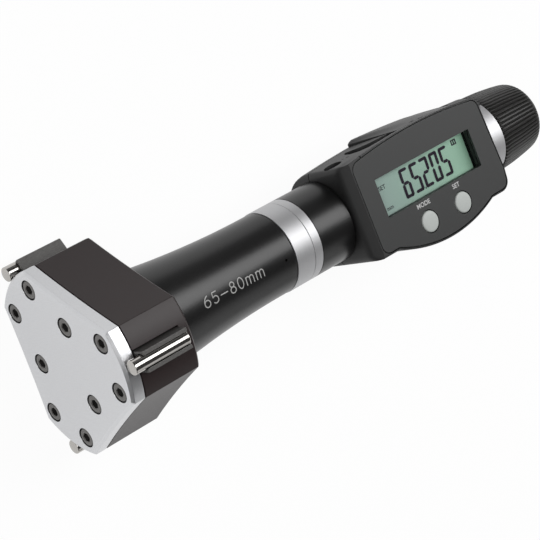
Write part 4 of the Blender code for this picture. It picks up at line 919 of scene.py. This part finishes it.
def makeLabels():
    for text, (x, y) in readout["labels"].items():
        bm = moved(lettering(text, readout["labelHeight"], 0.03),
                   Matrix.Translation((x, y, readout["top"] + 0.015)))
        makePiece("label" + text.title(), tilted(bm), "labelInk")


digits = {
    "text": "65.205", "left": 120.55, "base": -3.55, "height": 9.3, "width": 3.75, "pitch": 4.43,
    "upright": 1.26, "level": 1.12, "slant": 3.0, "gap": 0.08,
}
segmentsOn = {"0": "abcdef", "2": "abged", "5": "afgcd", "6": "afgcde"}
symbols = {
    "bars": ((0, 0, 0.5, 1.75), (0.5, 1.4, 1.7, 1.75), (0.5, 0, 1.7, 0.35), (1.7, 0, 2.2, 1.75),
             (0.85, 0.35, 1.35, 1.4)),
    "place": (144.9, 4.25),
    "words": (("lcdUnit", "mm", 113.4, -3.15, 1.3), ("lcdMode", "SET", 113.1, 3.4, 1.4)),
}


def makeDigits():
    # Seven-segment strokes, each a flat bar with pointed ends, joined in one thin piece
    bm = bmesh.new()
    height, width = digits["height"], digits["width"]
    middle = height / 2
    v, h, gap = digits["upright"], digits["level"], digits["gap"]
    bars = {
        "a": ((0, height - h), (width, height)), "d": ((0, 0), (width, h)),
        "g": ((v * 0.5, middle - h / 2), (width - v * 0.5, middle + h / 2)),
        "f": ((0, middle), (v, height)), "b": ((width - v, middle), (width, height)),
        "e": ((0, 0), (v, middle)), "c": ((width - v, 0), (width, middle)),
    }

    def addBar(low, high, start):
        (u0, v0), (u1, v1) = low, high
        u0, v0, u1, v1 = u0 + gap, v0 + gap, u1 - gap, v1 - gap
        if u1 - u0 > v1 - v0:
            cut = (v1 - v0) / 2
            shape = [(u0 + cut, v0), (u1 - cut, v0), (u1, v0 + cut), (u1 - cut, v1), (u0 + cut, v1),
                     (u0, v0 + cut)]
        else:
            cut = (u1 - u0) / 2
            shape = [(u0 + cut, v0), (u1, v0 + cut), (u1, v1 - cut), (u0 + cut, v1), (u0, v1 - cut),
                     (u0, v0 + cut)]
        verts = [bm.verts.new((start + u + tan(radians(digits["slant"])) * w, digits["base"] + w,
                               readout["cellTop"] + 0.03)) for u, w in shape]
        bm.faces.new(verts)

    start = digits["left"]
    for letter in digits["text"]:
        if letter == ".":
            addBar((-0.62, -0.1), (0.2, 0.75), start)
            continue
        for name in segmentsOn[letter]:
            addBar(*bars[name], start)
        start += digits["pitch"]
    grown = bmesh.ops.extrude_face_region(bm, geom=bm.faces[:])["geom"]
    bmesh.ops.translate(bm, vec=(0, 0, 0.03),
                        verts=[item for item in grown if isinstance(item, bmesh.types.BMVert)])
    bmesh.ops.recalc_face_normals(bm, faces=bm.faces)
    makePiece("lcdDigits", tilted(bm), "lcdInk")


def makeSymbols():
    bm = bmesh.new()
    x, y = symbols["place"]
    level = readout["cellTop"] + 0.04
    for u0, v0, u1, v1 in symbols["bars"]:
        bm.faces.new([bm.verts.new((x + u, y + v, level)) for u,
                      v in ((u0, v0), (u1, v0), (u1, v1), (u0, v1))])
    makePiece("lcdBlock", tilted(bm), "lcdInk")
    for name, text, x, y, size in symbols["words"]:
        word = moved(lettering(text, size, 0.02), Matrix.Translation((x, y, level)))
        makePiece(name, tilted(word), "lcdInk")


def makeDisplay():
    x0, y0, x1, y1 = readout["window"]
    edge = 1.5
    panels = (
        ("lcdCell", readout["cellRear"], ((12.2, 0), (13.34, 0), (13.4, 0.06)), "lcdGround", "lcd_cell",
         "lcd_green"),
        ("lcdPane", x1 + edge, ((13.7, 0), (14.05, 0), (14.1, 0.05)), "windowPane", "lcd_window",
         "window_glass"),
    )
    for name, rear, levels, finish, node, slot in panels:
        bm = slab(rectangle(x0 - edge, y0 - edge, rear, y1 + edge, 0.3), levels)
        smoothOut(makePiece(name, tilted(bm), finish, [node]), crease=30)


makeHousing()
makeCover()
makeFascia()
makeButtons()
makeLabels()
makeDisplay()
makeDigits()
makeSymbols()
print("readout ready")


thimble = {
    "front": 167.7, "rear": 187.6, "flutes": 64, "fluteDepth": 0.5, "land": 0.42, "pointsPerFlute": 10,
    "stations": ((0.0, 12.75, 0.0), (0.12, 13.0, 0.6), (0.45, 13.22, 1.0), (2.5, 13.14, 1.0),
                 (5.0, 13.02, 1.0),
                 (7.8, 12.84, 1.0), (11.0, 12.5, 1.0), (14.5, 12.05, 1.0), (17.0, 11.66, 1.0),
                 (17.9, 11.46, 0.9),
                 (18.6, 11.18, 0.5), (19.2, 10.78, 0.15), (19.65, 10.3, 0.0), (19.9, 9.8, 0.0)),
    "bore": 11.3, "spigotBore": 12.25, "spigotSeat": 171.6, "web": 177.7, "threadBore": 4.5,
}
sleeve = {"front": 158.3, "shoulder": 167.4, "rear": 171.3, "radius": 13.0, "spigot": 11.95, "bore": 11.3}
endCap = {"front": 187.9, "rear": 191.5, "radius": 6.6, "edge": 0.9}


def fluteShape(share):
    # How deep the surface lies across one flute, from 0 on the ridge to 1 at the bottom
    off = abs(share - 0.5) * 2
    ridge = thimble["land"]
    if off > 1 - ridge:
        return 0.0
    return cos(pi / 2 * off / (1 - ridge)) ** 0.8


def makeThimble():
    loops = []
    steps = thimble["pointsPerFlute"]
    count = thimble["flutes"] * steps
    for offset, radius, depth in thimble["stations"]:
        loop = []
        for i in range(count):
            reach = radius - thimble["fluteDepth"] * depth * fluteShape((i % steps) / steps)
            turn = 2 * pi * (i + steps / 2) / count
            loop.append((thimble["front"] + offset, *polar(reach, turn)))
        loops.append(loop)
    piece = makePiece("thimbleGrip", loftOf(loops), "thimbleBlack", ["thimble"], "thimble")
    wide, spigotBore, seat, web, thread = [thimble[name] for name in (
        "bore", "spigotBore", "spigotSeat", "web", "threadBore")]
    bore = [(189.6, 0), (189.6, thread), (web, thread), (web, wide), (seat, wide), (seat, spigotBore),
            (165.7, spigotBore), (165.7, 0)]
    carve(piece, turned(bore, 96))
    smoothOut(piece, crease=45)
    front, shoulder, rear, radius, spigot, bore = sleeve.values()
    profile = eased([(rear, bore), (rear, spigot), (shoulder, spigot), (shoulder, radius, 0.3),
                     (front, radius, 0.3), (front, bore, 0.1)])
    ring = makePiece("thimbleSleeve", turned(profile, 128), "turnedAluminium",
                     ["thimble_sleeve"], "thimble")
    smoothOut(ring, crease=40)
    front, rear, radius, edge = endCap.values()
    profile = eased([(rear - 0.35, 0), (rear - 0.35, 2.4, 0.2), (rear, 3.0, 0.2), (rear, radius, edge),
                     (front, radius), (front, 0)])
    cap = makePiece("ratchetCap", turned(profile, 96), "endCapGrey", ["end_cap"],
                    "thimble")
    smoothOut(cap, crease=40)


makeThimble()
print("thimble ready")


carried = {
    "groundSteel": ("measuring_cone", "push_rod", "core_tube", "micrometer_screw"),
    "domeSteel": ("battery", "mode_dome", "set_dome", "case_screw_1", "case_screw_2"),
    "nutBronze": ("guide_nut",),
    "boardGreen": ("circuit_board",),
    "stator": ("encoder_stator",),
    "rotorCopper": ("encoder_rotor",),
}
for finishName, nodes in carried.items():
    for node in nodes:
        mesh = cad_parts[node].data
        mesh.materials.clear()
        mesh.materials.append(finishes[finishName])


floorLook = {"height": -22.1, "flat": 2000.0, "rim": 3200.0, "rise": 1500.0, "shade": 0.93, "glow": 0.95,
             "mirrored": (0.8, 0.1), "mirroredTop": 50.0}
lamps = {
    # place and size in metres, power in watts, aim in metres
    "softbox": {"place": (0.47, 0.18, 0.60), "size": (0.9, 0.38), "power": 4.6, "aim": (0.05, 0, 0)},
    "front": {"place": (-0.42, 0.10, 0.58), "size": (0.4, 0.4), "power": 2.0, "aim": (0.1, 0, 0)},
    "fill": {"place": (0.45, -0.62, 0.28), "size": (0.9, 0.4), "power": 0.7, "aim": (0.06, 0, 0)},
}
roomLight = 0.06


def whiteForViewer(tree):
    # White for camera rays and through glass; in reflections it gets weaker with height
    path = addNode(tree, "ShaderNodeLightPath").outputs
    strong, weak = floorLook["mirrored"]
    mirrored = addNode(tree, "ShaderNodeMapRange", {
        "Value": splitPlace(tree)["Z"], "From Min": floorLook["height"] * mm,
        "From Max": floorLook["mirroredTop"] * mm, "To Min": strong, "To Max": weak})
    glossy = mathNode(tree, "MULTIPLY", mirrored.outputs["Result"], path["Is Glossy Ray"])
    white = mathNode(tree, "MAXIMUM", path["Is Camera Ray"], glossy)
    return mathNode(tree, "MAXIMUM", white, path["Is Transmission Ray"])


def makeFloor():
    # A round sweep of paper, flat under the tool, that rises a little at its far rim
    flat, rim, rise = floorLook["flat"], floorLook["rim"], floorLook["rise"]
    loops = [[(0, 0, 0)]]
    for k in range(25):
        out = flat + (rim - flat) * k / 24
        up = rise * (1 - cos(pi / 2 * k / 24))
        loops.append([(*polar(out, 2 * pi * i / 96), up) for i in range(96)])
    bm = bmesh.new()
    rings = [[bm.verts.new((x, y, z + floorLook["height"])) for x, y, z in loop] for loop in loops]
    for first, second in zip(rings, rings[1:]):
        joinLoops(bm, first, second)
    floor = bpy.data.objects.new("studioFloor", meshOf("studioFloor", bm))
    scene.collection.objects.link(floor)
    floor.data.shade_smooth()
    material, tree = newMaterial("floorPaper")
    tree.nodes.remove(tree.nodes["Principled BSDF"])
    paper = addNode(tree, "ShaderNodeBsdfDiffuse", {"Color": (*[floorLook["shade"]] * 3, 1.0)})
    glow = addNode(tree, "ShaderNodeEmission")
    share = mathNode(tree, "MULTIPLY", whiteForViewer(tree), floorLook["glow"])
    blend = addNode(tree, "ShaderNodeMixShader", {0: share, 1: paper.outputs[0], 2: glow.outputs[0]})
    feed(tree.nodes["Material Output"], {"Surface": blend.outputs[0]})
    floor.data.materials.append(material)


def makeLight():
    for name, look in lamps.items():
        lamp = bpy.data.lights.new(name, "AREA")
        lamp.shape = "RECTANGLE"
        lamp.size, lamp.size_y = look["size"]
        lamp.energy = look["power"]
        holder = bpy.data.objects.new(name, lamp)
        scene.collection.objects.link(holder)
        holder.location = look["place"]
        holder.visible_camera = False
        away = (Vector(look["place"]) - Vector(look["aim"])).normalized()
        across = away.cross(Vector((1, 0, 0))).normalized()
        holder.rotation_euler = Matrix((across.cross(away), across, away)).transposed().to_euler()
    world = bpy.data.worlds.new("studio")
    scene.world = world
    world.use_nodes = True
    sky = world.node_tree.nodes["Background"]
    sky.inputs["Color"].default_value = (1, 1, 1, 1)
    sky.inputs["Strength"].default_value = roomLight


view = {"place": (-0.22144, 0.12444, 0.41523), "turn": (0.3855, -37.8188, -24.2545), "lens": 119.747,
        "sensor": 36}


def makeCamera():
    lens = bpy.data.cameras.new("viewer")
    lens.lens = view["lens"]
    lens.sensor_width = view["sensor"]
    holder = bpy.data.objects.new("viewer", lens)
    scene.collection.objects.link(holder)
    holder.location = view["place"]
    holder.rotation_euler = [radians(angle) for angle in view["turn"]]
    scene.camera = holder


makeFloor()
makeLight()
makeCamera()
scene.view_settings.view_transform = "Standard"
print("floor, light and camera ready")
